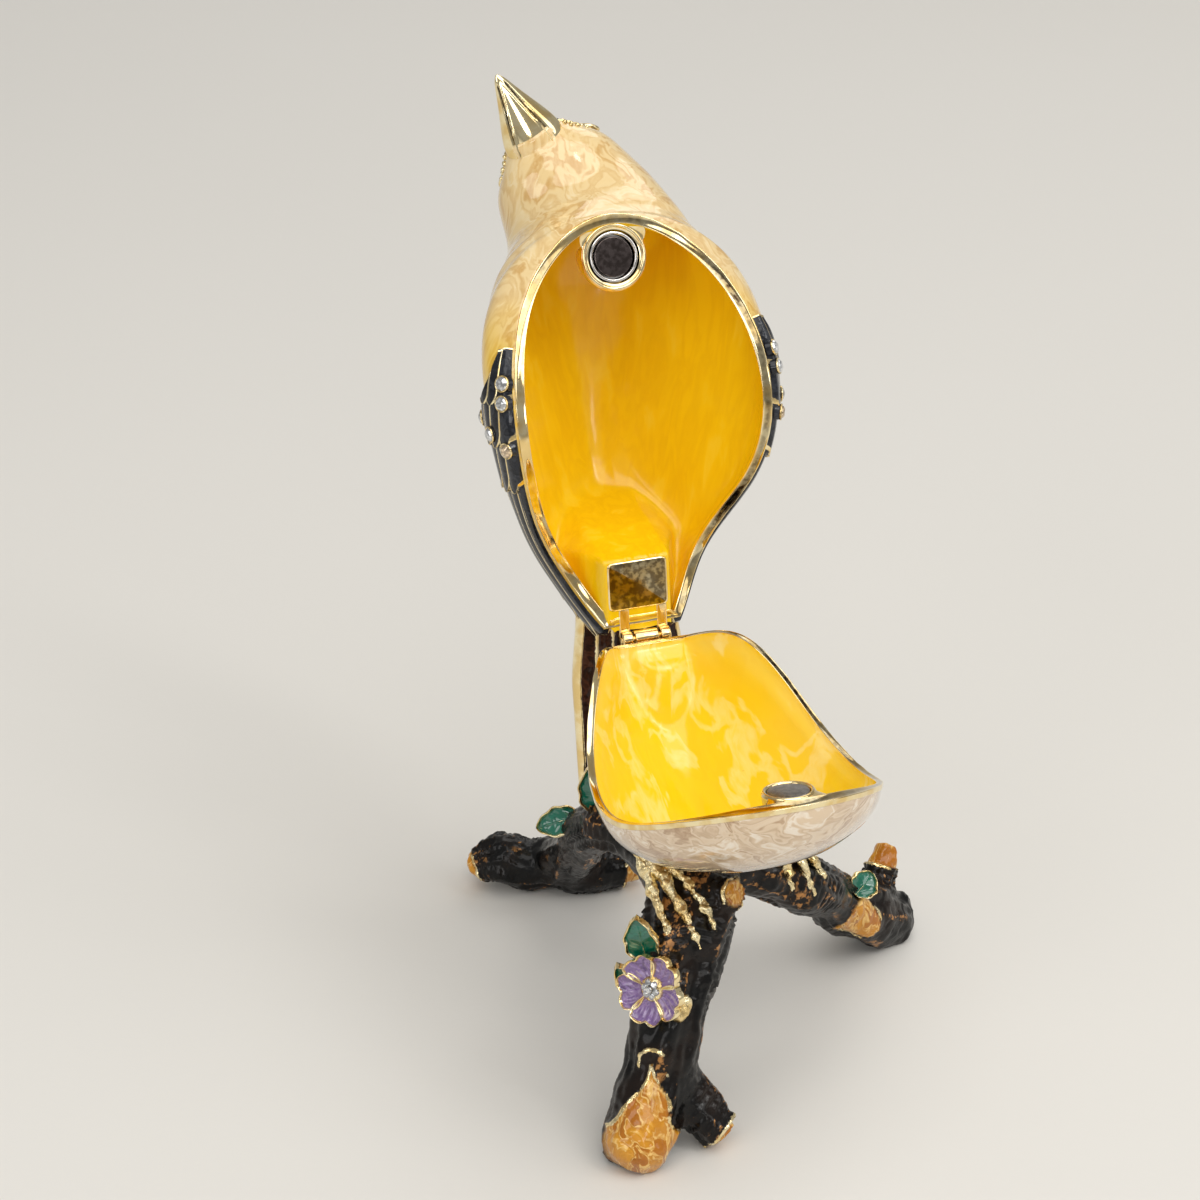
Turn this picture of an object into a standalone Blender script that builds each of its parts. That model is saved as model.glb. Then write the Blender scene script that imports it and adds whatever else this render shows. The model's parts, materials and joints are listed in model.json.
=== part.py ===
"""Bird trinket box on a branch, lid open. Metres, +Z up, the bird faces -Y.

The bird is one body split by a saddle-shaped rim.  The belly bowl is fixed to a three-limbed branch and
the lid (back, head, wings and tail) turns about a small hinge at the vent.  Shapes are worked out in
millimetres in the hinge frame: x to the bird's left, y backwards, z up, with the hinge axis along x at the
origin and the box closed.
"""
import math

import bmesh
import bpy
import numpy as np
from mathutils import Matrix, Vector
from mathutils.bvhtree import BVHTree

MM = 0.001

# Driving dimensions, in millimetres
HINGE_AT = (-9.26, 9.72, 54.0)
OPEN_ANGLE = math.radians(98.0)
WALL = 1.5
GAP = 0.3
BELLY_DEPTH = 18.0
BELLY_ROUND = 1.5
BELLY_CENTRE = 24.0
RIM_REAR = 2.0
RIM_LENGTH = 54.0
# Rim outline: fraction of its length from the hinge, half width, height above the hinge axis
RIM_STATIONS = (
    (0.00, 5.2, 0.6),
    (0.15, 10.0, 3.6),
    (0.35, 15.1, -2.4),
    (0.60, 17.1, -4.7),
    (0.85, 13.2, 1.2),
    (1.00, 0.0, 5.6),
)
REAR_COLUMNS = 2
COLUMNS = 32
# The lid is a fan of sections about an axis in front of the throat: the angle of the section above the
# backward direction in degrees, its reach to the back line and to the throat line, and its half width
FAN_AXIS = (62.0, 5.6)
FAN = (
    (-5.0, 60.2, 6.0, 17.1),
    (2.0, 62.5, 5.9, 20.5),
    (8.0, 58.5, 5.9, 18.9),
    (15.0, 49.0, 5.9, 16.5),
    (22.0, 40.8, 5.9, 14.5),
    (30.0, 33.0, 6.0, 12.7),
    (39.0, 27.0, 6.2, 12.1),
    (50.0, 23.5, 7.0, 11.2),
    (62.0, 23.6, 7.9, 10.0),
    (75.0, 24.4, 9.0, 9.2),
    (87.0, 21.0, 8.8, 8.0),
    (96.0, 18.5, 10.0, 6.0),
    (103.0, 17.9, 12.0, 4.2),
)
FAN_ROWS = (0.0, 5.0, 10.0, 15.0, 20.0, 26.0, 32.0, 39.0, 46.0, 54.0, 62.0, 70.0, 78.0, 85.0, 92.0, 98.0, 103.0)
CAVITY_ROWS = (0.0, 6.0, 12.0, 18.0, 25.0, 32.0, 40.0)
HEAD_TURN = math.radians(28.0)
TURN_AXIS = 54.0
BEAK_TIP = (75.5, 19.6)
MAGNET_AT = (50.6, 5.1)
MAGNET_TILT = math.radians(11.0)
MAGNET_RADIUS = 2.6
MAGNET_THICK = 2.0
CUP_RADIUS = 3.3
LID_BOSS = 4.2
BOWL_BOSS = 3.9
BOWL_BOSS_DROP = 0.2
BARREL_RADIUS = 1.1
PIN_RADIUS = 0.4
PIN_LENGTH = 7.0
KNUCKLE_CENTRE = 3.3
KNUCKLE_SIDE = 1.4
PAD_LENGTH = 8.3
STRAP_LENGTH = 2.9
PAD_LOW = 0.62
PAD_HIGH = 1.15
TAIL_LENGTH = 24.5
GEM_RADIUS = 0.9
WING_RISE = 0.6
# Places of the stones on a wing: along it from the shoulder, and across it from its lower edge
GEM_PLACES = ((0.09, 0.35), (0.15, 0.35), (0.235, 0.75), (0.29, 0.30), (0.35, 0.50), (0.32, 0.85))

GOLD = (0.83, 0.60, 0.22)
BRASS = (0.78, 0.52, 0.18)
YELLOW = (0.92, 0.62, 0.05)
CREAM = (0.80, 0.66, 0.42)
BARK = (0.035, 0.025, 0.022)
GREEN = (0.01, 0.22, 0.13)
VIOLET = (0.30, 0.20, 0.42)
STEEL = (0.45, 0.44, 0.43)
MAGNET_GREY = (0.16, 0.13, 0.12)
CRYSTAL = (0.85, 0.88, 0.92)


def clear_scene():
    """Remove what the file holds, and make one collection for the parts and one for the cutters."""
    for old in list(bpy.data.objects):
        bpy.data.objects.remove(old, do_unlink=True)
    made = []
    for name in ("bird_trinket_box", "cutters"):
        collection = bpy.data.collections.new(name)
        bpy.context.scene.collection.children.link(collection)
        made.append(collection)
    return made


PARTS, CUTTERS = clear_scene()


def finish(name, colour, roughness, metallic):
    """A plain material with a colour, roughness and metallic value."""
    material = bpy.data.materials.new(name)
    material.use_nodes = True
    shader = material.node_tree.nodes["Principled BSDF"]
    shader.inputs["Base Color"].default_value = (*colour, 1.0)
    shader.inputs["Roughness"].default_value = roughness
    shader.inputs["Metallic"].default_value = metallic
    return material


def add_part(name, mesh, colour, roughness, metallic, parent=None):
    """Put a mesh in the model as a named piece with its own finish."""
    piece = bpy.data.objects.new(name, mesh)
    piece.data.materials.clear()
    piece.data.materials.append(finish(name + "_finish", colour, roughness, metallic))
    PARTS.objects.link(piece)
    piece.parent = parent
    mesh.shade_smooth()
    mesh.set_sharp_from_angle(angle=math.radians(35.0))
    return piece


def add_cutter(name, mesh, parent=None):
    """Put a mesh in the cutters collection: it shapes other pieces and isn't one itself."""
    cutter = bpy.data.objects.new(name, mesh)
    cutter.hide_render = True
    cutter.display_type = "WIRE"
    CUTTERS.objects.link(cutter)
    cutter.parent = parent
    return cutter


def boolean(piece, operation, other):
    """Join another object to a piece, or cut it out."""
    modifier = piece.modifiers.new(operation.lower() + "_" + other.name, "BOOLEAN")
    modifier.operation = operation
    modifier.solver = "EXACT"
    modifier.object = other


def axis_empty(name, turn):
    """An empty on the hinge axis that carries a body's pieces."""
    empty = bpy.data.objects.new(name, None)
    empty.location = Vector(HINGE_AT) * MM
    empty.rotation_euler = (turn, 0.0, 0.0)
    PARTS.objects.link(empty)
    return empty


def spline(keys, values, at):
    """Natural cubic through the given stations, evaluated for a whole array."""
    keys = np.asarray(keys, float)
    values = np.asarray(values, float)
    steps = np.diff(keys)
    slopes = np.diff(values) / steps
    count = len(keys)
    system = np.eye(count)
    right = np.zeros(count)
    for i in range(1, count - 1):
        system[i, i - 1:i + 2] = (steps[i - 1], 2.0 * (steps[i - 1] + steps[i]), steps[i])
        right[i] = 6.0 * (slopes[i] - slopes[i - 1])
    bend = np.linalg.solve(system, right)
    at = np.clip(np.asarray(at, float), keys[0], keys[-1])
    i = np.clip(np.searchsorted(keys, at) - 1, 0, count - 2)
    a = (keys[i + 1] - at) / steps[i]
    b = 1.0 - a
    curve = (a ** 3 - a) * bend[i] + (b ** 3 - b) * bend[i + 1]
    return a * values[i] + b * values[i + 1] + curve * steps[i] ** 2 / 6.0


def smoothstep(value):
    """0 below 0, 1 above 1, and an even ease between."""
    value = np.clip(value, 0.0, 1.0)
    return value * value * (3.0 - 2.0 * value)


def loft(name, loops, ends):
    """A closed mesh from loops of equal length, with a pole point before the first and after the last."""
    shape = bmesh.new()
    rings = [[shape.verts.new(Vector(point) * MM) for point in loop] for loop in loops]
    count = len(rings[0])
    for low, high in zip(rings, rings[1:]):
        for j in range(count):
            k = (j + 1) % count
            shape.faces.new((low[j], low[k], high[k], high[j]))
    for ring, end in ((rings[0], ends[0]), (rings[-1], ends[1])):
        pole = shape.verts.new(Vector(end) * MM)
        for j in range(count):
            shape.faces.new((ring[j], ring[(j + 1) % count], pole))
    return closed_mesh(name, shape)


def closed_mesh(name, shape):
    """Turn the faces of a bmesh outwards and hand back a mesh."""
    bmesh.ops.recalc_face_normals(shape, faces=shape.faces)
    mesh = bpy.data.meshes.new(name)
    shape.to_mesh(mesh)
    shape.free()
    return mesh


def plate(name, top, bottom):
    """A closed mesh between two grids of points that share their layout."""
    shape = bmesh.new()
    layers = [[[shape.verts.new(Vector(point) * MM) for point in row] for row in grid] for grid in (top, bottom)]
    rows = len(layers[0])
    columns = len(layers[0][0])
    for layer in layers:
        for i in range(rows - 1):
            for j in range(columns - 1):
                shape.faces.new((layer[i][j], layer[i][j + 1], layer[i + 1][j + 1], layer[i + 1][j]))
    border = [(0, j) for j in range(columns)]
    border += [(i, columns - 1) for i in range(1, rows)]
    border += [(rows - 1, j) for j in range(columns - 2, -1, -1)]
    border += [(i, 0) for i in range(rows - 2, 0, -1)]
    for here, there in zip(border, border[1:] + border[:1]):
        corners = [layers[0][here[0]][here[1]], layers[0][there[0]][there[1]]]
        corners += [layers[1][there[0]][there[1]], layers[1][here[0]][here[1]]]
        shape.faces.new(corners)
    return closed_mesh(name, shape)


def cylinder(name, radius, length, centre, direction, segments, top_radius=None):
    """A closed cylinder or cone centred on a point, along a direction."""
    shape = bmesh.new()
    bmesh.ops.create_cone(
        shape, cap_ends=True, segments=segments, radius1=radius * MM,
        radius2=(radius if top_radius is None else top_radius) * MM, depth=length * MM)
    turn = Vector((0.0, 0.0, 1.0)).rotation_difference(Vector(direction)).to_matrix().to_4x4()
    bmesh.ops.transform(shape, matrix=Matrix.Translation(Vector(centre) * MM) @ turn, verts=shape.verts)
    return closed_mesh(name, shape)


def box(name, low, high):
    """A closed box between two corners."""
    shape = bmesh.new()
    bmesh.ops.create_cube(shape, size=1.0)
    low, high = Vector(low) * MM, Vector(high) * MM
    size = Matrix.Diagonal((*(high - low), 1.0))
    bmesh.ops.transform(shape, matrix=Matrix.Translation((low + high) / 2.0) @ size, verts=shape.verts)
    return closed_mesh(name, shape)


def dome(name, radii, centre):
    """A closed ellipsoid."""
    shape = bmesh.new()
    bmesh.ops.create_uvsphere(shape, u_segments=16, v_segments=10, radius=1.0)
    size = Matrix.Diagonal((*(Vector(radii) * MM), 1.0))
    bmesh.ops.transform(shape, matrix=Matrix.Translation(Vector(centre) * MM) @ size, verts=shape.verts)
    return closed_mesh(name, shape)


# ---------------------------------------------------------------- the bird's body

def loop_angles(count=COLUMNS):
    """Places round a loop, from 0 at the rear to half a turn at the front and back."""
    return np.arange(count) * 2.0 * math.pi / count


def rim_loop(angles):
    """The rim: a blunt rear edge at the hinge, an egg outline and a saddle in its height."""
    fraction, half, height = (np.array(column) for column in zip(*RIM_STATIONS))
    signed = (angles + math.pi) % (2.0 * math.pi) - math.pi
    corner = REAR_COLUMNS * 2.0 * math.pi / COLUMNS
    past = np.clip((np.abs(signed) - corner) / (math.pi - corner), 0.0, 1.0)
    along = np.sin(past * math.pi / 2.0)
    width = np.sqrt(np.clip(spline(fraction, half ** 2, along), 0.0, None))
    rear = np.clip(np.abs(signed) / corner, 0.0, 1.0)
    x = np.sign(signed) * np.where(past > 0.0, width, half[0] * rear)
    x[np.isclose(np.abs(signed), math.pi)] = 0.0
    return np.stack([x, -(RIM_REAR + RIM_LENGTH * along), spline(fraction, height, along)], axis=1)


def inset(loop, distance):
    """Move a loop inwards in plan by a distance."""
    tangent = np.roll(loop, -1, axis=0) - np.roll(loop, 1, axis=0)
    inward = np.stack([tangent[:, 1], -tangent[:, 0]], axis=1)
    inward /= np.linalg.norm(inward, axis=1, keepdims=True)
    centre = loop[:, :2].mean(axis=0)
    inward *= np.sign(np.sum(inward * (centre - loop[:, :2]), axis=1, keepdims=True))
    moved = loop.copy()
    moved[:, :2] += inward * distance
    return moved


def fan_loop(angle, angles, wall=0.0):
    """One section of the lid: an egg in the plane at this angle about the fan's axis."""
    keys, back, throat, half = (np.array(column) for column in zip(*FAN))
    reach = spline(keys, back, angle) - wall
    near = spline(keys, throat, angle) + wall
    width = spline(keys, half, angle) - wall
    skew = 0.7 * (1.0 - smoothstep((angle - 5.0) / 54.0))
    distance = near + (reach - near) * 0.5 * (1.0 + np.cos(angles))
    x = width * np.sin(angles) * (1.0 - skew * np.cos(angles)) / (1.0 + 0.45 * skew * skew)
    tilt = math.radians(angle)
    y = -(FAN_AXIS[0] - distance * math.cos(tilt))
    z = FAN_AXIS[1] + distance * math.sin(tilt)
    return np.stack([x, y, z], axis=1)


def turn_head(points, angle):
    """Turn what lies high on the fan about an upright axis through the neck, to the bird's right."""
    turn = HEAD_TURN * smoothstep((angle - 40.0) / 45.0)
    x, y = points[:, 0], points[:, 1] + TURN_AXIS
    turned = points.copy()
    turned[:, 0] = x * math.cos(turn) + y * math.sin(turn)
    turned[:, 1] = -x * math.sin(turn) + y * math.cos(turn) - TURN_AXIS
    return turned


def skin_loop(angle, angles, wall=0.0):
    """A section of the lid eased into the rim where it is low on the fan."""
    slack = inset(rim_loop(angles), wall) - fan_loop(FAN[0][0], angles, wall)
    settle = 1.0 - smoothstep((angle - FAN[0][0]) / 25.0)
    return fan_loop(angle, angles, wall) + slack * settle


def lid_outer(angles):
    """The lid's outer loops, from the rim up over the shoulders to the root of the beak."""
    return [rim_loop(angles)] + [turn_head(skin_loop(angle, angles), angle) for angle in FAN_ROWS]


def lid_inner(angles):
    """The cavity's loops, from the rim's inner edge to where it closes in the neck."""
    loops = [inset(rim_loop(angles), WALL)]
    loops += [skin_loop(angle, angles, WALL + 0.2) for angle in CAVITY_ROWS]
    for angle, size in ((46.0, 0.82), (51.0, 0.5)):
        loop = fan_loop(angle, angles, WALL + 0.2)
        middle = loop.mean(axis=0)
        loops.append(middle + (loop - middle) * size)
    pole = fan_loop(54.0, angles).mean(axis=0)
    return loops, pole


def beak_loops(root):
    """The beak: the last loop drawn in towards its tip."""
    tip = turn_head(np.array([[0.0, -BEAK_TIP[0], BEAK_TIP[1]]]), FAN_ROWS[-1])[0]
    middle = root.mean(axis=0)
    loops = []
    for along, size in ((0.12, 0.98), (0.45, 0.66), (0.78, 0.30), (0.95, 0.10)):
        loops.append(middle + (tip - middle) * along + (root - middle) * size)
    return loops, tip


def lid_mesh():
    """The hollow lid: outer skin, rim band and cavity as one closed surface."""
    angles = loop_angles()
    outer = lid_outer(angles)
    beak, tip = beak_loops(outer[-1])
    inner, pole = lid_inner(angles)
    return loft("lid_shell", beak[::-1] + outer[::-1] + inner, (tip, pole))


def bowl_loop(rim, depth, step):
    """The rim drawn in and down along a rounded belly; step runs from 0 at the rim to 1 at the bottom."""
    turn = step * math.pi / 2.0
    draw = math.cos(turn) ** BELLY_ROUND
    drop = math.sin(turn)
    x = rim[:, 0] * draw
    y = -BELLY_CENTRE + (rim[:, 1] + BELLY_CENTRE) * draw
    z = rim[:, 2] * (1.0 - drop) - depth * drop
    return np.stack([x, y, z], axis=1)


BOWL_STEPS = (0.1, 0.22, 0.35, 0.48, 0.62, 0.76, 0.88)


def bowl_mesh():
    """The hollow belly bowl: outer skin, rim band and inside."""
    rim = rim_loop(loop_angles())
    rim[:, 2] -= GAP
    edge = inset(rim, WALL)
    outer = [bowl_loop(rim, BELLY_DEPTH, step) for step in (0.0,) + BOWL_STEPS]
    inner = [bowl_loop(edge, BELLY_DEPTH - WALL, step) for step in (0.0,) + BOWL_STEPS]
    bottom = (0.0, -BELLY_CENTRE, -BELLY_DEPTH)
    floor = (0.0, -BELLY_CENTRE, -BELLY_DEPTH + WALL)
    return loft("belly_bowl", outer[::-1] + inner, (bottom, floor))


def belly_solid(name, spread):
    """The outside of the belly made bigger all round, for cutting what it rests on."""
    rim = inset(rim_loop(loop_angles()), -spread)
    loops = [bowl_loop(rim, BELLY_DEPTH + spread, step) for step in (0.0,) + BOWL_STEPS]
    loops.append(loops[0] * 0.0 + rim + np.array([0.0, 0.0, 3.0]))
    order = [loops[-1]] + loops[:-1]
    top = (0.0, -BELLY_CENTRE, 8.0)
    return loft(name, order, (top, (0.0, -BELLY_CENTRE, -BELLY_DEPTH - spread)))


def tail_mesh():
    """A flat tail with a shallow notch at its end, rooted inside the rump."""
    across = np.linspace(-1.0, 1.0, 7)
    along = np.array([-9.0, -3.0, 3.0, 9.0, 14.0, 19.0, TAIL_LENGTH])
    top, bottom = [], []
    for reach in along:
        spread = 7.0 + 1.2 * smoothstep((reach + 3.0) / 12.0)
        notch = 1.6 * (np.abs(across) - 0.55) * smoothstep((reach - 12.0) / 12.0)
        crown = 0.9 * (1.0 - across ** 2)
        height = 9.6 - 0.05 * reach
        thick = 3.4 - 0.06 * reach
        rows = [(spread * v, reach + n, height + c) for v, n, c in zip(across, notch, crown)]
        top.append(rows)
        bottom.append([(x, y, z - thick) for x, y, z in rows])
    return plate("tail", top, bottom)


def wing_point(side, a, b, rise):
    """A point on the flank: a runs from the shoulder to the wing's end, b from its lower to its upper edge."""
    angle = -2.0 + 8.0 * a + b * (7.0 + 22.0 * a * (1.2 - a))
    place = math.pi * (0.58 - 0.38 * a)
    place = place if side > 0 else 2.0 * math.pi - place
    return skin_loop(angle, place + loop_angles(), -rise)[0]


def wing_mesh(name, side):
    """A folded wing: a raised patch over the flank, from the shoulder to a point beside the tail."""
    top, bottom = [], []
    for a in np.linspace(0.0, 1.0, 10):
        steps = np.linspace(0.0, 1.0, 5)
        top.append([wing_point(side, a, b, WING_RISE * (0.4 if b in (0.0, 1.0) else 1.0)) for b in steps])
        bottom.append([wing_point(side, a, b, -0.9) for b in steps])
    return plate(name, top, bottom)


def gem_mesh(name, centre, facing):
    """A cut stone: a flat table above a girdle, with a shallow point below."""
    shape = bmesh.new()
    facing = Vector(facing).normalized()
    turn = Vector((0.0, 0.0, 1.0)).rotation_difference(facing).to_matrix().to_4x4()
    bmesh.ops.create_cone(shape, cap_ends=True, segments=8, radius1=GEM_RADIUS * MM,
                          radius2=0.55 * GEM_RADIUS * MM, depth=0.6 * MM)
    place = Matrix.Translation((Vector(centre) + facing * (GAP + 0.2)) * MM) @ turn
    bmesh.ops.transform(shape, matrix=place, verts=shape.verts)
    return closed_mesh(name, shape)


def add_wing_gems(axis):
    """Rhinestones along the lower edge of each wing and a short bar above them."""
    for side, word in ((1, "left"), (-1, "right")):
        for i, (a, b) in enumerate(GEM_PLACES):
            here = wing_point(side, a, b, WING_RISE)
            step_a = wing_point(side, a + 0.01, b, WING_RISE) - here
            step_b = wing_point(side, a, b + 0.01, WING_RISE) - here
            facing = np.cross(step_a, step_b)
            facing *= np.sign(facing[0]) * side
            mesh = gem_mesh("gem", here, facing)
            add_part("gem_" + word + "_" + str(i + 1), mesh, CRYSTAL, 0.05, 0.0, axis)


# ---------------------------------------------------------------- branch, claws, leaves and flower

def limb_mesh(name, points, radii, extra=0.0, sides=3):
    """A tapering limb: a smooth curve with a round section of changing radius, made into a mesh."""
    curve = bpy.data.curves.new(name, "CURVE")
    curve.dimensions = "3D"
    curve.bevel_depth = MM
    curve.bevel_resolution = sides
    curve.use_fill_caps = True
    curve.resolution_u = 3
    line = curve.splines.new("NURBS")
    line.points.add(len(points) - 1)
    for knot, point, radius in zip(line.points, points, radii):
        knot.co = (*(Vector(point) * MM), 1.0)
        knot.radius = radius + extra
    line.order_u = 3
    line.use_endpoint_u = True
    holder = bpy.data.objects.new(name, curve)
    CUTTERS.objects.link(holder)
    bpy.context.view_layer.update()
    graph = bpy.context.evaluated_depsgraph_get()
    mesh = bpy.data.meshes.new_from_object(holder.evaluated_get(graph))
    bpy.data.objects.remove(holder, do_unlink=True)
    shape = bmesh.new()
    shape.from_mesh(mesh)
    bmesh.ops.remove_doubles(shape, verts=shape.verts, dist=1e-6)
    bmesh.ops.recalc_face_normals(shape, faces=shape.faces)
    shape.to_mesh(mesh)
    shape.free()
    return mesh


# Each limb: its name, the points of its axis and the radius at each, in the floor frame below the hinge
LIMBS = (
    ("front", ((-2.0, -10.0, 29.0), (-1.0, -20.0, 31.0), (-3.5, -28.5, 27.0), (-7.0, -32.0, 20.5),
               (-9.4, -34.5, 14.5), (-12.2, -37.5, 7.2), (-15.9, -41.4, 1.4)),
     (5.5, 6.2, 6.3, 4.8, 4.7, 5.0, 4.3)),
    ("toe", ((-10.0, -35.5, 9.5), (-7.0, -38.0, 5.5), (-3.5, -40.5, 1.9)), (3.6, 3.1, 2.2)),
    ("knot", ((-1.0, -24.0, 28.0), (0.0, -28.0, 30.5), (1.2, -31.0, 32.0)), (3.2, 2.4, 2.0)),
    ("right", ((-1.0, -11.0, 28.5), (8.0, -15.0, 26.5), (17.0, -14.0, 21.0), (23.0, -10.0, 14.5),
               (29.5, -5.5, 8.0), (36.0, -1.0, 3.0)),
     (5.5, 5.2, 4.4, 3.7, 4.2, 4.6)),
    ("right_stub", ((33.0, -2.0, 6.0), (36.6, 1.0, 9.5), (37.6, 2.2, 12.6)), (3.4, 2.2, 1.8)),
    ("right_cut", ((30.0, -3.0, 6.5), (30.0, -6.0, 6.9), (30.2, -9.4, 7.2)), (2.8, 2.5, 2.1)),
    ("rear", ((0.0, -12.0, 28.5), (-6.0, -6.0, 30.0), (-7.4, -0.5, 26.5), (-7.0, 6.5, 20.5),
              (-5.0, 14.5, 13.5), (-3.5, 22.0, 7.5), (-4.0, 27.0, 4.0)),
     (5.0, 3.9, 3.3, 3.2, 3.6, 4.0, 3.6)),
    ("rear_foot", ((6.0, 22.5, 2.5), (0.0, 25.0, 3.4), (-7.0, 27.5, 3.4), (-14.5, 31.0, 2.9)),
     (2.8, 3.9, 4.0, 3.2)),
)
# Each claw: the path of the leg and of each toe, from its root to its nail; the bark is cut out of them
CLAWS = (
    ("claw_right", (
        ((-9.6, -23.0, 39.6), (-9.4, -24.0, 37.0), (-8.8, -25.5, 34.4)),
        ((-9.3, -24.3, 36.6), (-9.0, -28.8, 32.4), (-7.8, -33.4, 26.9)),
        ((-9.1, -24.4, 36.4), (-6.2, -30.0, 33.2), (-4.9, -34.9, 27.2)),
        ((-9.0, -24.0, 36.2), (-3.4, -28.0, 34.2), (-2.7, -34.2, 29.2)),
    )),
    ("claw_left", (
        ((9.4, -17.5, 37.6), (11.0, -17.0, 34.0), (12.8, -16.4, 30.4)),
        ((12.0, -16.6, 31.6), (13.4, -18.8, 26.6), (14.6, -18.6, 21.4)),
        ((12.2, -16.4, 31.4), (16.6, -17.8, 26.4), (17.8, -18.3, 19.6)),
        ((12.4, -16.0, 31.2), (18.4, -15.6, 25.6), (20.8, -16.2, 19.8)),
    )),
)
CLAW_RADII = (1.25, 1.15, 0.6)
# Each leaf: its root, its tip, the way it faces, and its width
LEAVES = (
    ("leaf_front_upper", (-10.6, -31.2, 24.4), (-12.3, -31.0, 31.2), (-0.55, -0.82, 0.15), 4.6),
    ("leaf_front_lower", (-9.6, -29.8, 21.4), (-14.0, -29.3, 23.2), (-0.6, -0.8, 0.2), 3.4),
    ("leaf_rear_upper", (-8.0, -4.4, 30.6), (-9.0, -4.2, 38.4), (-0.5, -0.82, 0.2), 4.8),
    ("leaf_rear_lower", (-8.0, 4.0, 25.6), (-13.8, 6.0, 23.6), (-0.2, -0.75, 0.6), 4.3),
    ("leaf_right", (27.6, -9.6, 13.2), (30.6, -8.2, 15.6), (0.0, -0.85, 0.5), 4.2),
)
FLOWER_AT = (-11.8, -34.6, 22.7)
FLOWER_FACES = (-0.80, -0.53, 0.28)
FLOWER_RADIUS = 5.0


def floor_frame(mesh):
    """Drop a mesh given from the floor into the hinge frame."""
    mesh.transform(Matrix.Translation((0.0, 0.0, -HINGE_AT[2] * MM)))
    return mesh


def joined_limbs(name, extra, parent):
    """All limbs as operands: the first carries a union with each of the others."""
    trunk = None
    for limb, points, radii in LIMBS:
        mesh = floor_frame(limb_mesh(name + "_" + limb, points, radii, extra))
        operand = add_cutter(name + "_" + limb, mesh, parent)
        if trunk is None:
            trunk = operand
        else:
            boolean(trunk, "UNION", operand)
    return trunk


def baked(name, source):
    """The evaluated mesh of an object with its modifiers applied."""
    bpy.context.view_layer.update()
    graph = bpy.context.evaluated_depsgraph_get()
    mesh = bpy.data.meshes.new_from_object(source.evaluated_get(graph))
    mesh.name = name
    return mesh


def leaf_mesh(name, root, tip, facing, width):
    """A pointed leaf with a folded midrib, from its root to its tip."""
    root, tip, facing = (np.array(v, float) for v in (root, tip, facing))
    lengthwise = tip - root
    side = np.cross(facing, lengthwise)
    side /= np.linalg.norm(side)
    normal = np.cross(lengthwise, side)
    normal /= np.linalg.norm(normal)
    top, bottom = [], []
    for a in np.linspace(0.0, 1.0, 7):
        half = 0.5 * width * max(0.12, math.sin(math.pi * a ** 0.85) ** 0.75)
        middle = root + lengthwise * a + normal * (0.5 * math.sin(math.pi * a))
        row = [middle + side * half * v + normal * 0.5 * (v * v - 0.5) for v in (-1.0, -0.5, 0.0, 0.5, 1.0)]
        top.append(row)
        bottom.append([point - normal * 0.9 for point in row])
    return floor_frame(plate(name, top, bottom))


def flower_mesh(name):
    """Five petals round a low cup: a disc whose edge swings out and in five times."""
    facing = Vector(FLOWER_FACES).normalized()
    turn = np.array(Vector((0.0, 0.0, 1.0)).rotation_difference(facing).to_matrix())
    angles = np.arange(40) * 2.0 * math.pi / 40
    petal = 0.56 + 0.44 * np.abs(np.cos(2.5 * angles)) ** 0.6
    loops = []
    for reach, height in ((0.25, 0.2), (0.62, 0.7), (1.0, 1.0), (1.0, 0.3), (0.6, -0.2), (0.25, -0.6)):
        radius = FLOWER_RADIUS * reach * (petal if reach > 0.3 else 0.8)
        ring = np.stack([radius * np.cos(angles), radius * np.sin(angles), np.full(40, height)], axis=1)
        loops.append(ring @ turn.T + np.array(FLOWER_AT))
    ends = [turn @ np.array((0.0, 0.0, z)) + np.array(FLOWER_AT) for z in (0.1, -0.7)]
    return floor_frame(loft(name, loops, ends))


# ---------------------------------------------------------------- hinge and magnets

def tilted(u, w, tilt=MAGNET_TILT):
    """A point on the rim's centre line and the direction square to the magnets' faces there."""
    return np.array((0.0, -u, w)), np.array((0.0, math.sin(tilt), math.cos(tilt)))


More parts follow.
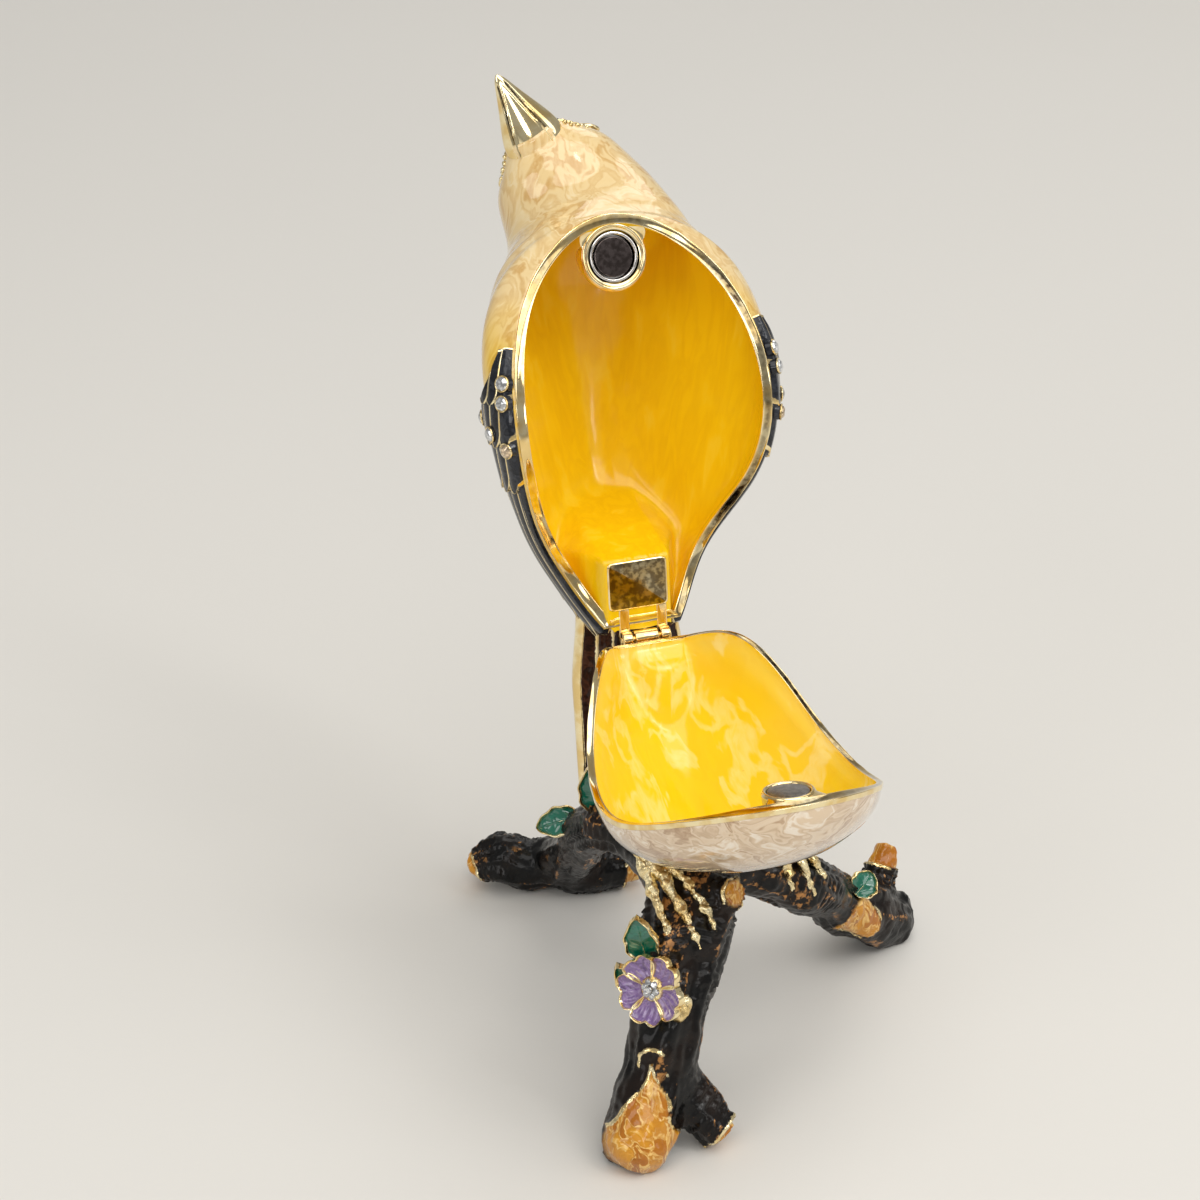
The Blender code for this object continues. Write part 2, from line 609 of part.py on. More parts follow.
def add_magnets(lid, bowl, lid_axis, bowl_axis):
    """Bosses behind the front of each rim, their pockets, and a magnet in each; the lid's sits in a cup."""
    point, normal = tilted(*MAGNET_AT)
    for piece, axis, way, back, radius, pocket in (
            (lid, lid_axis, 1.0, 0.0, LID_BOSS, CUP_RADIUS + GAP),
            (bowl, bowl_axis, -1.0, GAP + BOWL_BOSS_DROP, BOWL_BOSS, MAGNET_RADIUS + GAP)):
        face = point + normal * way * back
        body = cylinder("boss", radius, 5.2, face + normal * way * 2.6, normal * way, 24, radius * 0.8)
        boolean(piece, "UNION", add_cutter(piece.name + "_boss", body, axis))
        hole = cylinder("pocket", pocket, 6.0, face + normal * way * (MAGNET_THICK + 2 * GAP - 3.0), normal, 24)
        boolean(piece, "DIFFERENCE", add_cutter(piece.name + "_pocket", hole, axis))
    seat = point + normal * (0.15 + MAGNET_THICK / 2.0)
    cup = cylinder("lid_magnet_cup", CUP_RADIUS, MAGNET_THICK, seat, normal, 24)
    cup_piece = add_part("lid_magnet_cup", cup, STEEL, 0.3, 1.0, lid_axis)
    bore = cylinder("cup_bore", MAGNET_RADIUS + 0.25, 3.0, seat - normal * 1.0, normal, 24)
    boolean(cup_piece, "DIFFERENCE", add_cutter("lid_magnet_cup_bore", bore, lid_axis))
    disc = cylinder("lid_magnet", MAGNET_RADIUS, 1.1, seat - normal * 0.35, normal, 24)
    add_part("lid_magnet", disc, MAGNET_GREY, 0.25, 1.0, lid_axis)
    seat = point - normal * (GAP + 0.15 + MAGNET_THICK / 2.0)
    disc = cylinder("bowl_magnet", MAGNET_RADIUS, MAGNET_THICK, seat, normal, 24)
    add_part("bowl_magnet", disc, MAGNET_GREY, 0.25, 1.0, bowl_axis)


def knuckle(name, x, width, parent):
    """One hinge barrel about the axis."""
    return add_cutter(name, cylinder(name, BARREL_RADIUS, width, (x, 0.0, 0.0), (1.0, 0.0, 0.0), 16), parent)


def add_hinge(lid, bowl, lid_axis, bowl_axis):
    """A pad under the rear of the lid and a strap let into the bowl, with three knuckles on one pin."""
    side_x = (KNUCKLE_CENTRE + KNUCKLE_SIDE) / 2.0 + GAP
    lid_leaf = add_part("hinge_leaf_lid", cylinder("hinge_leaf_lid", BARREL_RADIUS, KNUCKLE_SIDE,
                                                   (-side_x, 0.0, 0.0), (1.0, 0.0, 0.0), 16),
                        BRASS, 0.25, 1.0, lid_axis)
    boolean(lid_leaf, "UNION", knuckle("lid_knuckle", side_x, KNUCKLE_SIDE, lid_axis))
    half = side_x + KNUCKLE_SIDE / 2.0
    low, high = (-half, -PAD_LENGTH, PAD_LOW), (half, -1.45, PAD_HIGH)
    boolean(lid_leaf, "UNION", add_cutter("lid_plate", box("lid_plate", low, high), lid_axis))
    for sign in (-1.0, 1.0):
        inner = sign * (side_x - KNUCKLE_SIDE / 2.0)
        ends = sorted((inner, sign * half))
        neck = box("lid_neck", (ends[0], -1.7, 0.5), (ends[1], -0.3, PAD_HIGH))
        boolean(lid_leaf, "UNION", add_cutter("lid_neck" + ("_l" if sign < 0 else "_r"), neck, lid_axis))
    bowl_leaf = add_part("hinge_leaf_bowl", cylinder("hinge_leaf_bowl", BARREL_RADIUS, KNUCKLE_CENTRE,
                                                     (0.0, 0.0, 0.0), (1.0, 0.0, 0.0), 16),
                         BRASS, 0.25, 1.0, bowl_axis)
    centre = KNUCKLE_CENTRE / 2.0
    plate_box = box("bowl_plate", (-centre, -STRAP_LENGTH, -1.25), (centre, -0.4, -0.65))
    boolean(bowl_leaf, "UNION", add_cutter("bowl_plate", plate_box, bowl_axis))
    bore = cylinder("hinge_bore", PIN_RADIUS + 0.2, 12.0, (0.0, 0.0, 0.0), (1.0, 0.0, 0.0), 12)
    for leaf, axis in ((lid_leaf, lid_axis), (bowl_leaf, bowl_axis)):
        boolean(leaf, "DIFFERENCE", add_cutter(leaf.name + "_bore", bore.copy(), axis))
    pin = cylinder("hinge_pin", PIN_RADIUS, PIN_LENGTH, (0.0, 0.0, 0.0), (1.0, 0.0, 0.0), 12)
    add_part("hinge_pin", pin, BRASS, 0.25, 1.0, bowl_axis)
    land = box("lid_land", (-half - 0.6, -PAD_LENGTH - 0.6, 0.65), (half + 0.6, -1.7, 7.5))
    boolean(lid, "UNION", add_cutter("lid_land", land, lid_axis))
    slot = box("lid_slot", (-half - GAP, -PAD_LENGTH - GAP, -2.0), (half + GAP, 3.0, PAD_HIGH + GAP))
    boolean(lid, "DIFFERENCE", add_cutter("lid_slot", slot, lid_axis))
    boolean(bowl, "UNION", add_cutter("bowl_land", dome("bowl_land", (4.4, 2.9, 3.9), (0.0, -6.2, -4.3)), bowl_axis))
    slot = box("bowl_slot", (-centre - GAP, -STRAP_LENGTH - GAP, -1.25 - GAP), (centre + GAP, 3.0, -0.65 + GAP))
    boolean(bowl, "DIFFERENCE", add_cutter("bowl_slot", slot, bowl_axis))


# ---------------------------------------------------------------- the whole object

def build():
    """Make every piece in its place, the lid turned back to its open stop."""
    bowl_axis = axis_empty("bowl_axis", 0.0)
    lid_axis = axis_empty("lid_axis", -OPEN_ANGLE)

    lid = add_part("lid_shell", lid_mesh(), YELLOW, 0.2, 0.0, lid_axis)
    boolean(lid, "UNION", add_cutter("tail", tail_mesh(), lid_axis))
    boolean(lid, "UNION", add_cutter("wing_left", wing_mesh("wing_left", 1), lid_axis))
    boolean(lid, "UNION", add_cutter("wing_right", wing_mesh("wing_right", -1), lid_axis))

    bowl = add_part("belly_bowl", bowl_mesh(), CREAM, 0.2, 0.0, bowl_axis)
    add_wing_gems(lid_axis)
    add_magnets(lid, bowl, lid_axis, bowl_axis)
    add_hinge(lid, bowl, lid_axis, bowl_axis)

    belly = add_cutter("belly_clearance", belly_solid("belly_clearance", GAP), bowl_axis)
    floor = add_cutter("floor", floor_frame(box("floor", (-90, -90, -20), (90, 90, 0))), bowl_axis)
    branch = add_part("branch_stand", baked("branch_stand", joined_limbs("bark", 0.0, bowl_axis)),
                      BARK, 0.35, 0.2, bowl_axis)
    boolean(branch, "DIFFERENCE", floor)
    boolean(branch, "DIFFERENCE", belly)
    bark = add_cutter("bark_clearance", baked("bark_clearance", joined_limbs("wide", GAP, bowl_axis)), bowl_axis)

    for name, paths in CLAWS:
        for i, path in enumerate(paths):
            mesh = floor_frame(limb_mesh(name + str(i), path, CLAW_RADII, 0.0, 2))
            if i == 0:
                claw = add_part(name, mesh, GOLD, 0.3, 1.0, bowl_axis)
            else:
                boolean(claw, "UNION", add_cutter(name + "_toe_" + str(i), mesh, bowl_axis))
        boolean(claw, "DIFFERENCE", bark)
        boolean(claw, "DIFFERENCE", belly)
    for name, root, tip, facing, width in LEAVES:
        leaf = add_part(name, leaf_mesh(name, root, tip, facing, width), GREEN, 0.15, 0.0, bowl_axis)
        boolean(leaf, "DIFFERENCE", bark)
    flower = add_part("flower", flower_mesh("flower"), VIOLET, 0.2, 0.0, bowl_axis)
    boolean(flower, "DIFFERENCE", bark)
    stone = floor_frame(gem_mesh("flower_gem", Vector(FLOWER_AT) + Vector(FLOWER_FACES) * 0.3, FLOWER_FACES))
    add_part("flower_gem", stone, CRYSTAL, 0.05, 0.0, bowl_axis)


build()
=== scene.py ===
"""Enamelled bird trinket box on a branch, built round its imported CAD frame.

Bird shapes are worked out in millimetres in the hinge frame with the box closed: x to the bird's left,
y backwards, z up, the hinge axis along x at the origin.  to_row turns the lid back to its open stop and
puts every point in the row frame, in metres.
"""
import math

import bmesh
import bpy
import numpy as np
from mathutils import Matrix, Vector
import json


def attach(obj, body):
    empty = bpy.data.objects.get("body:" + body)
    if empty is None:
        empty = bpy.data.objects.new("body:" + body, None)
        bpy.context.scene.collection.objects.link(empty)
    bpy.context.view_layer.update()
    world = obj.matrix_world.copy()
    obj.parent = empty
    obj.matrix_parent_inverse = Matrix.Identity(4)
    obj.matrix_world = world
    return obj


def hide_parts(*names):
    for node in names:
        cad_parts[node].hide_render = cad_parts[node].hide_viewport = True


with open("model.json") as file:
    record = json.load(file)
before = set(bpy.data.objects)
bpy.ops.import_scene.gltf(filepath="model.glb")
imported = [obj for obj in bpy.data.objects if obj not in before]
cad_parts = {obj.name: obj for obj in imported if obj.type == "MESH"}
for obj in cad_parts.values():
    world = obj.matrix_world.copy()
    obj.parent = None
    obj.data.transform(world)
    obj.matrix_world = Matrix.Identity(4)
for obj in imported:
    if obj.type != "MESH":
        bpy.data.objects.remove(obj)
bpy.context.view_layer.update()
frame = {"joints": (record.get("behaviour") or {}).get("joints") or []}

MM = 0.001
TURN = 2.0 * math.pi
hinge = next(joint for joint in frame["joints"] if joint["name"] == "lid_hinge")
HINGE = np.array(hinge["pos_m"], float)
OPEN_ANGLE = math.radians(hinge["range_deg"][1])
FLOOR = -HINGE[2] / MM

# The bird's body: the same measures, in millimetres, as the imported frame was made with
WALL = 1.5
GAP = 0.3
BELLY_DEPTH = 18.0
BELLY_ROUND = 1.5
BELLY_CENTRE = 24.0
RIM_REAR = 2.0
RIM_LENGTH = 54.0
RIM_CORNER = math.pi / 8.0
# How far along the rim from rear to breast, its half width and its height
RIM_STATIONS = (
    (0.0, 5.2, 0.6), (0.15, 10.0, 3.6), (0.35, 15.1, -2.4), (0.6, 17.1, -4.7), (0.85, 13.2, 1.2),
    (1.0, 0.0, 5.6))
# The lid's sections fan out from an axis: the angle of each in degrees, its reach to the back and to the
# throat, and its half width
FAN_AXIS = (62.0, 5.6)
FAN = (
    (-5.0, 60.2, 6.0, 17.1), (2.0, 62.5, 5.9, 20.5), (8.0, 58.5, 5.9, 18.9), (15.0, 49.0, 5.9, 16.5),
    (22.0, 40.8, 5.9, 14.6), (30.0, 33.0, 5.9, 13.3), (39.0, 27.0, 6.1, 12.3), (50.0, 23.5, 6.6, 11.4),
    (62.0, 23.6, 7.3, 10.5), (75.0, 24.4, 8.3, 9.4), (87.0, 21.0, 9.2, 8.0), (96.0, 18.5, 10.2, 6.0),
    (103.0, 17.9, 12.0, 4.2))
FAN_LOW = FAN[0][0]
FAN_TOP = FAN[-1][0]
HEAD_TURN = math.radians(28.0)
TURN_AXIS = 54.0
BEAK_TIP = (75.5, 19.6)
MAGNET_AT = (50.6, 5.1)
MAGNET_TILT = math.radians(11.0)
MAGNET_RADIUS = 2.6
CUP_RADIUS = 3.3
DISC_BEVEL = 0.14
TAIL_LENGTH = 24.5


# ---------------------------------------------------------------- numbers on arrays

def spline(keys, values, at):
    """A natural cubic through stations: bends solved from the second-difference equations, then blended."""
    keys, values = np.asarray(keys, float), np.asarray(values, float)
    steps = np.diff(keys)
    slopes = np.diff(values) / steps
    count = len(keys)
    inner = np.arange(1, count - 1)
    system, right = np.eye(count), np.zeros(count)
    system[inner, inner - 1], system[inner, inner + 1] = steps[:-1], steps[1:]
    system[inner, inner] = 2.0 * (steps[:-1] + steps[1:])
    right[inner] = 6.0 * (slopes[1:] - slopes[:-1])
    bend = np.linalg.solve(system, right)
    at = np.clip(np.asarray(at, float), keys[0], keys[-1])
    i = np.clip(np.searchsorted(keys, at) - 1, 0, count - 2)
    a = (keys[i + 1] - at) / steps[i]
    b = 1.0 - a
    curve = (a ** 3 - a) * bend[i] + (b ** 3 - b) * bend[i + 1]
    return a * values[i] + b * values[i + 1] + curve * steps[i] ** 2 / 6.0


def ease(value):
    """0 below 0, 1 above 1, and 3v2 - 2v3 between."""
    value = np.clip(value, 0.0, 1.0)
    return value * value * (3.0 - 2.0 * value)


def soft_max(a, b, blend):
    """The larger of two fields with the crease between them rounded over about the blend width."""
    return 0.5 * (a + b + np.sqrt((a - b) ** 2 + blend * blend))


def bell(value, centre, width):
    """1 where a value is at the centre, falling away on both sides as a bell curve of this width."""
    return np.exp(-((value - centre) / width) ** 2)


def signed_power(value, power):
    """A power of a value's size, with the value's own sign."""
    return np.sign(value) * np.abs(value) ** power


def wrapped(angle):
    """An angle brought into the turn that runs from minus half to half."""
    return (angle + math.pi) % TURN - math.pi


def unit(vectors):
    """Vectors scaled to length one."""
    return vectors / np.maximum(np.linalg.norm(vectors, axis=-1, keepdims=True), 1e-9)


NOISE_TABLE = np.random.default_rng(7).uniform(-1.0, 1.0, 4096)
# Large odd numbers that scatter a corner's place and the seed over the table
HASH_FACTORS = np.array([73856093, 19349663, 83492791])
SEED_FACTOR = 2654435


def lattice(points, seed):
    """Value noise: random numbers at whole-number corners, blended with eased weights along each axis."""
    low = np.floor(points).astype(np.int64)
    part = ease(points - low)
    total = np.zeros(points.shape[:-1])
    for corner in range(8):
        bits = np.array([corner & 1, corner >> 1 & 1, corner >> 2 & 1])
        key = np.bitwise_xor.reduce((low + bits) * HASH_FACTORS, axis=-1) ^ (seed * SEED_FACTOR)
        weight = np.prod(np.where(bits, part, 1.0 - part), axis=-1)
        total += NOISE_TABLE[key & (len(NOISE_TABLE) - 1)] * weight
    return total


def rough(points, scale, seed, octaves):
    """Octaves of value noise, each twice as fine and half as strong as the one before."""
    points = np.asarray(points, float) * scale
    return sum(lattice(points * 2.0 ** i, seed + i) * 0.5 ** i for i in range(octaves))


def to_row(points, body):
    """Closed-box millimetres to the row frame in metres: the lid turns back by the open angle about x."""
    points = np.asarray(points, float)
    if body == "lid":
        c, s = math.cos(OPEN_ANGLE), math.sin(OPEN_ANGLE)
        y, z = points[..., 1], points[..., 2]
        points = np.stack([points[..., 0], y * c + z * s, z * c - y * s], axis=-1)
    return points * MM + HINGE


# ---------------------------------------------------------------- meshes from grids

# Points nearer than this, in metres, are one point, and an edge shorter than the second has no length
MERGE = 2e-6
NO_LENGTH = 1e-7


def sheet(points, finish=0, **marks):
    """A grid of points, the index of its finish, and the marks painted on it."""
    return {"points": np.asarray(points, float), "finish": finish, "marks": marks}


def quads_of(rows, columns, start=0):
    """Neighbours in a grid as four-cornered faces, its points numbered on from the start."""
    index = start + np.arange(rows * columns).reshape(rows, columns)
    return np.stack([index[:-1, :-1], index[:-1, 1:], index[1:, 1:], index[1:, :-1]], axis=-1).reshape(-1, 4)


def close_mesh(mesh, reach):
    """Merge points nearer than the reach, drop faces that have no area, and turn the rest outwards."""
    shape = bmesh.new()
    shape.from_mesh(mesh)
    bmesh.ops.remove_doubles(shape, verts=shape.verts, dist=reach)
    bmesh.ops.dissolve_degenerate(shape, edges=shape.edges, dist=NO_LENGTH)
    bmesh.ops.recalc_face_normals(shape, faces=shape.faces)
    shape.to_mesh(mesh)
    shape.free()


def placed(name, data):
    """A new object in the scene that holds this data."""
    thing = bpy.data.objects.new(name, data)
    bpy.context.scene.collection.objects.link(thing)
    return thing


def paint(mesh, key, values):
    """A mark's values laid on a mesh's points."""
    layer = mesh.attributes.new(key, "FLOAT", "POINT")
    layer.data.foreach_set("value", values.astype(np.float32))


def make_piece(name, body, sheets, finishes, stands_for, sharp):
    """One mesh from grids: neighbours in a grid make quads, and points that meet are merged shut."""
    points, faces, finish, start = [], [], [], 0
    keys = sorted({key for part in sheets for key in part["marks"]})
    marks = {key: [] for key in keys}
    for part in sheets:
        rows, columns = part["points"].shape[:2]
        quads = quads_of(rows, columns, start)
        points.append(part["points"].reshape(-1, 3))
        faces.append(quads)
        finish.append(np.full(len(quads), part["finish"]))
        for key in keys:
            value = part["marks"].get(key, 0.0)
            marks[key].append(np.broadcast_to(value, (rows, columns)).reshape(-1))
        start += rows * columns
    points, faces, finish = np.concatenate(points), np.concatenate(faces), np.concatenate(finish)
    mesh = bpy.data.meshes.new(name)
    mesh.vertices.add(len(points))
    mesh.vertices.foreach_set("co", to_row(points, body).astype(np.float32).reshape(-1))
    mesh.loops.add(faces.size)
    mesh.loops.foreach_set("vertex_index", faces.reshape(-1).astype(np.int32))
    mesh.polygons.add(len(faces))
    mesh.polygons.foreach_set("loop_start", np.arange(0, faces.size, 4, dtype=np.int32))
    mesh.polygons.foreach_set("material_index", finish.astype(np.int32))
    for key in keys:
        paint(mesh, key, np.concatenate(marks[key]))
    mesh.update(calc_edges=True)
    close_mesh(mesh, MERGE)
    put_piece(name, body, mesh, finishes, stands_for, sharp)


def put_piece(name, body, mesh, finishes, stands_for, sharp):
    """Dress a mesh in its finishes and hang it on its body; edges bent past the sharp angle stay crisp."""
    piece = placed(name, mesh)
    for material in finishes:
        mesh.materials.append(material)
    mesh.shade_smooth()
    mesh.set_sharp_from_angle(angle=math.radians(sharp))
    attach(piece, body)
    if stands_for:
        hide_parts(*stands_for)


def pillow(top, bottom):
    """Two grids of one layout as a closed form: each row runs over the top and back below, ends pinched."""
    ring = np.concatenate([top, bottom[:, ::-1], top[:, :1]], axis=1)
    ends = [np.concatenate([row, row[::-1], row[:1]])[None] for row in (top[0], top[-1])]
    return np.concatenate([ends[0], ring, ends[1]], axis=0)


def capped(rings):
    """A tube's rings with the first and last drawn to their middles and the seam closed."""
    ends = [np.broadcast_to(ring[:-1].mean(axis=0), ring.shape)[None] for ring in (rings[0], rings[-1])]
    return np.concatenate([ends[0], rings, ends[1]], axis=0)


def around(count):
    """Angles round a closed ring, the last a full turn on from the first."""
    return np.linspace(0.0, TURN, count + 1)


def lathe(profile, centre, direction, count):
    """A profile of (radius, height) pairs turned about a direction through a centre."""
    direction = unit(np.asarray(direction, float))
    side = unit(np.cross(direction, (0.31, 0.17, 0.94) if abs(direction[2]) < 0.9 else (1.0, 0.2, 0.0)))
    front = np.cross(direction, side)
    turn = around(count)[None, :, None]
    radius, height = (np.array(column)[:, None, None] for column in zip(*profile))
    return np.asarray(centre) + radius * (np.cos(turn) * side + np.sin(turn) * front) + height * direction


def curve_points(knots, steps):
    """A smooth line that starts and ends on its knots and bends towards the others: joined parabolas from
    midpoint to midpoint of the knots' polygon."""
    knots = np.asarray(knots, float)
    middles = 0.5 * (knots[1:] + knots[:-1])
    start = np.concatenate([knots[:1], middles[1:-1]])
    stop = np.concatenate([middles[1:-1], knots[-1:]])
    t = np.linspace(0.0, 1.0, steps, endpoint=False)[None, :, None]
    bend = knots[1:-1]
    line = (1 - t) ** 2 * start[:, None] + 2 * t * (1 - t) * bend[:, None] + t ** 2 * stop[:, None]
    return np.concatenate([line.reshape(-1, knots.shape[1]), knots[-1:]])


def tube(path, radius, count):
    """A round section carried along a path; radius is one number a ring or a value for every point."""
    tangent = unit(np.gradient(path, axis=0))
    side = unit(np.cross(tangent, (0.3, 0.2, 0.93)))
    front = np.cross(tangent, side)
    turn = around(count)[None, :, None]
    radius = np.asarray(radius, float)
    radius = radius[:, None, None] if radius.ndim == 1 else radius[:, :, None]
    return path[:, None] + radius * (np.cos(turn) * side[:, None] + np.sin(turn) * front[:, None])


# ---------------------------------------------------------------- the bird's surfaces

def rim_at(theta):
    """The rim: a blunt rear edge at the hinge, an egg outline whose squared half width follows a cubic, and
    a saddle in its height; theta runs from 0 at the rear to half a turn at the breast."""
    fraction, half, height = (np.array(column) for column in zip(*RIM_STATIONS))
    signed = wrapped(theta)
    past = np.clip((np.abs(signed) - RIM_CORNER) / (math.pi - RIM_CORNER), 0.0, 1.0)
    along = np.sin(past * math.pi / 2.0)
    width = np.sqrt(np.clip(spline(fraction, half ** 2, along), 0.0, None))
    rear = half[0] * np.clip(np.abs(signed) / RIM_CORNER, 0.0, 1.0)
    x = np.sign(signed) * np.where(past > 0.0, width, rear)
    return np.stack([x, -(RIM_REAR + RIM_LENGTH * along), spline(fraction, height, along)], axis=-1)


def rim_inward(theta):
    """Directions square to the rim in plan, pointing inwards, averaged over a short stretch of it."""
    total = 0.0
    for reach in (0.05, 0.1, 0.15, 0.2):
        tangent = rim_at(theta + reach) - rim_at(theta - reach)
        total = total + unit(np.stack([-tangent[..., 1], tangent[..., 0], 0.0 * tangent[..., 0]], axis=-1))
    return unit(total) * np.sign(rim_turn())


def rim_turn():
    """Which way the rim winds: the sign that turns its left-hand normal inwards, found a quarter round."""
    before, here, after = rim_at(TURN * np.array([15.0, 16.0, 17.0]) / 64.0)
    return np.sign((after - before)[1] * here[0])


def rim_inset(theta, wall):
    """The rim moved inwards in plan by a distance."""
    return rim_at(theta) + rim_inward(theta) * np.asarray(wall)[..., None]


def fan_at(angle, theta, wall):
    """A point of the lid's section in the plane at this angle about the fan's axis: an egg whose distance
    swings as a cosine between throat and back, and whose half width is skewed towards the breast."""
    keys, back, throat, half = (np.array(column) for column in zip(*FAN))
    reach = spline(keys, back, angle) - wall
    near = spline(keys, throat, angle) + wall
    width = spline(keys, half, angle) - wall
    skew = 0.7 * (1.0 - ease((angle - 5.0) / 54.0))
    distance = near + (reach - near) * 0.5 * (1.0 + np.cos(theta))
    x = width * np.sin(theta) * (1.0 - skew * np.cos(theta)) / (1.0 + 0.45 * skew * skew)
    tilt = np.radians(angle)
    y = distance * np.cos(tilt) - FAN_AXIS[0]
    z = FAN_AXIS[1] + distance * np.sin(tilt)
    return np.stack([x, y, z], axis=-1)


def turn_head(points, angle):
    """Turn what lies high on the fan about an upright axis through the neck, to the bird's right."""
    turn = HEAD_TURN * ease((angle - 10.0) / 90.0)
    x, y, z = points[..., 0], points[..., 1] + TURN_AXIS, points[..., 2]
    turned_x = x * np.cos(turn) + y * np.sin(turn)
    turned_y = y * np.cos(turn) - x * np.sin(turn)
    return np.stack([turned_x, turned_y - TURN_AXIS, z], axis=-1)


def skin_at(angle, theta, wall=0.0):
    """The lid's surface: the fan's egg, eased into the rim where it is low on the fan."""
    angle, theta, wall = np.broadcast_arrays(np.asarray(angle, float), theta, wall)
    slack = rim_inset(theta, wall) - fan_at(0.0 * angle + FAN_LOW, theta, wall)
    settle = 1.0 - ease((angle - FAN_LOW) / 25.0)
    return fan_at(angle, theta, wall) + slack * settle[..., None]


def normals_of(grid):
    """Directions square to a grid of points, from its neighbours along rows and columns."""
    return unit(np.cross(np.gradient(grid, axis=1), np.gradient(grid, axis=0)))


def bowl_at(rim, depth, step):
    """The rim drawn in and down along a rounded belly; step runs from 0 at the rim to 1 at the bottom."""
    turn = step * math.pi / 2.0
    draw, drop = np.cos(turn) ** BELLY_ROUND, np.sin(turn)
    x = rim[..., 0] * draw
    y = (rim[..., 1] + BELLY_CENTRE) * draw - BELLY_CENTRE
    z = rim[..., 2] * (1.0 - drop) - depth * drop
    return np.stack([x, y, z], axis=-1)


# ---------------------------------------------------------------- finishes

def feed(tree, socket, value):
    """A socket linked to another node's output, or set to a plain value; None leaves it as it is."""
    if isinstance(value, bpy.types.NodeSocket):
        tree.links.new(value, socket)
    elif value is not None:
        socket.default_value = value


def add(tree, kind, settings=None, inputs=None):
    """A shader node with its settings, and its sockets set or linked by name or number."""
    node = tree.nodes.new("ShaderNode" + kind)
    for key, value in (settings or {}).items():
        setattr(node, key, value)
    for key, value in (inputs or {}).items():
        feed(tree, node.inputs[key], value)
    return node


def sums(tree, operation, a, b=None, c=None, clamp=False):
    """One arithmetic node's output."""
    return add(tree, "Math", {"operation": operation, "use_clamp": clamp}, {0: a, 1: b, 2: c}).outputs[0]


def times(tree, a, b):
    """Two numbers multiplied."""
    return sums(tree, "MULTIPLY", a, b)


def scaled(tree, value, factor, plus, clamp=False):
    """A number times a factor, plus another."""
    return sums(tree, "MULTIPLY_ADD", value, factor, plus, clamp)


def ramp(tree, value, low, high):
    """A value stretched so that low becomes 0 and high becomes 1, eased between."""
    settings = {"interpolation_type": "SMOOTHSTEP"}
    return add(tree, "MapRange", settings, {"Value": value, "From Min": low, "From Max": high}).outputs[0]


def blend(tree, factor, a, b):
    """Two colours mixed by a factor."""
    node = add(tree, "Mix", {"data_type": "RGBA"}, {0: factor})
    for socket, value in ((node.inputs[6], a), (node.inputs[7], b)):
        feed(tree, socket, (*value, 1.0) if isinstance(value, tuple) else value)
    return node.outputs[2]


def mix_numbers(tree, factor, a, b):
    """Two numbers mixed by a factor."""
    return add(tree, "Mix", {"data_type": "FLOAT"}, {0: factor, 2: a, 3: b}).outputs[0]


def noise(tree, place, scale, detail, **more):
    """A noise texture's value."""
    inputs = {"Vector": place, "Scale": scale, "Detail": detail, **more}
    return add(tree, "TexNoise", None, inputs).outputs[0]


def mark(tree, name):
    """A mark painted on the piece's points."""
    return add(tree, "Attribute", {"attribute_name": name}).outputs["Fac"]


def new_group(name, inputs, outputs):
    """An empty node group with named number, vector or colour sockets."""
    tree = bpy.data.node_groups.new(name, "ShaderNodeTree")
    for side, sockets in (("INPUT", inputs), ("OUTPUT", outputs)):
        for label, kind, start in sockets:
            socket = tree.interface.new_socket(label, in_out=side, socket_type="NodeSocket" + kind)
            feed(tree, socket, start)
    return tree, tree.nodes.new("NodeGroupInput"), tree.nodes.new("NodeGroupOutput")


def pearl_group():
    """Stirred pearl: a noise field folded by two coarser ones; its level lines make the fine streaks."""
    tree, given, made = new_group(
        "stirred_pearl",
        (("Vector", "Vector", None), ("Fold", "Float", 1.0), ("Streaks", "Float", 5.0)),
        (("Swirl", "Float", None), ("Streak", "Float", None), ("Fine", "Float", None)))
    place = given.outputs["Vector"]
    for scale, strength in ((0.55, 1.6), (1.7, 0.45)):
        fold = add(tree, "TexNoise", None, {"Vector": place, "Scale": scale, "Detail": 2.0})
        ends = {0: fold.outputs["Color"], 1: (0.5,) * 3}
        centred = add(tree, "VectorMath", {"operation": "SUBTRACT"}, ends)
        reach = times(tree, given.outputs["Fold"], strength)
        push = add(tree, "VectorMath", {"operation": "SCALE"}, {0: centred.outputs[0], 3: reach})
        place = add(tree, "VectorMath", {"operation": "ADD"}, {0: place, 1: push.outputs[0]}).outputs[0]
    broad = noise(tree, place, 0.9, 3.0, Distortion=0.6)
    level = times(tree, broad, times(tree, given.outputs["Streaks"], TURN))
    streak = scaled(tree, sums(tree, "SINE", level), 0.5, 0.5)
    fine = noise(tree, place, 5.0, 5.0, Roughness=0.6)
    tree.links.new(ramp(tree, broad, 0.3, 0.7), made.inputs["Swirl"])
    tree.links.new(streak, made.inputs["Streak"])
    tree.links.new(fine, made.inputs["Fine"])
    return tree


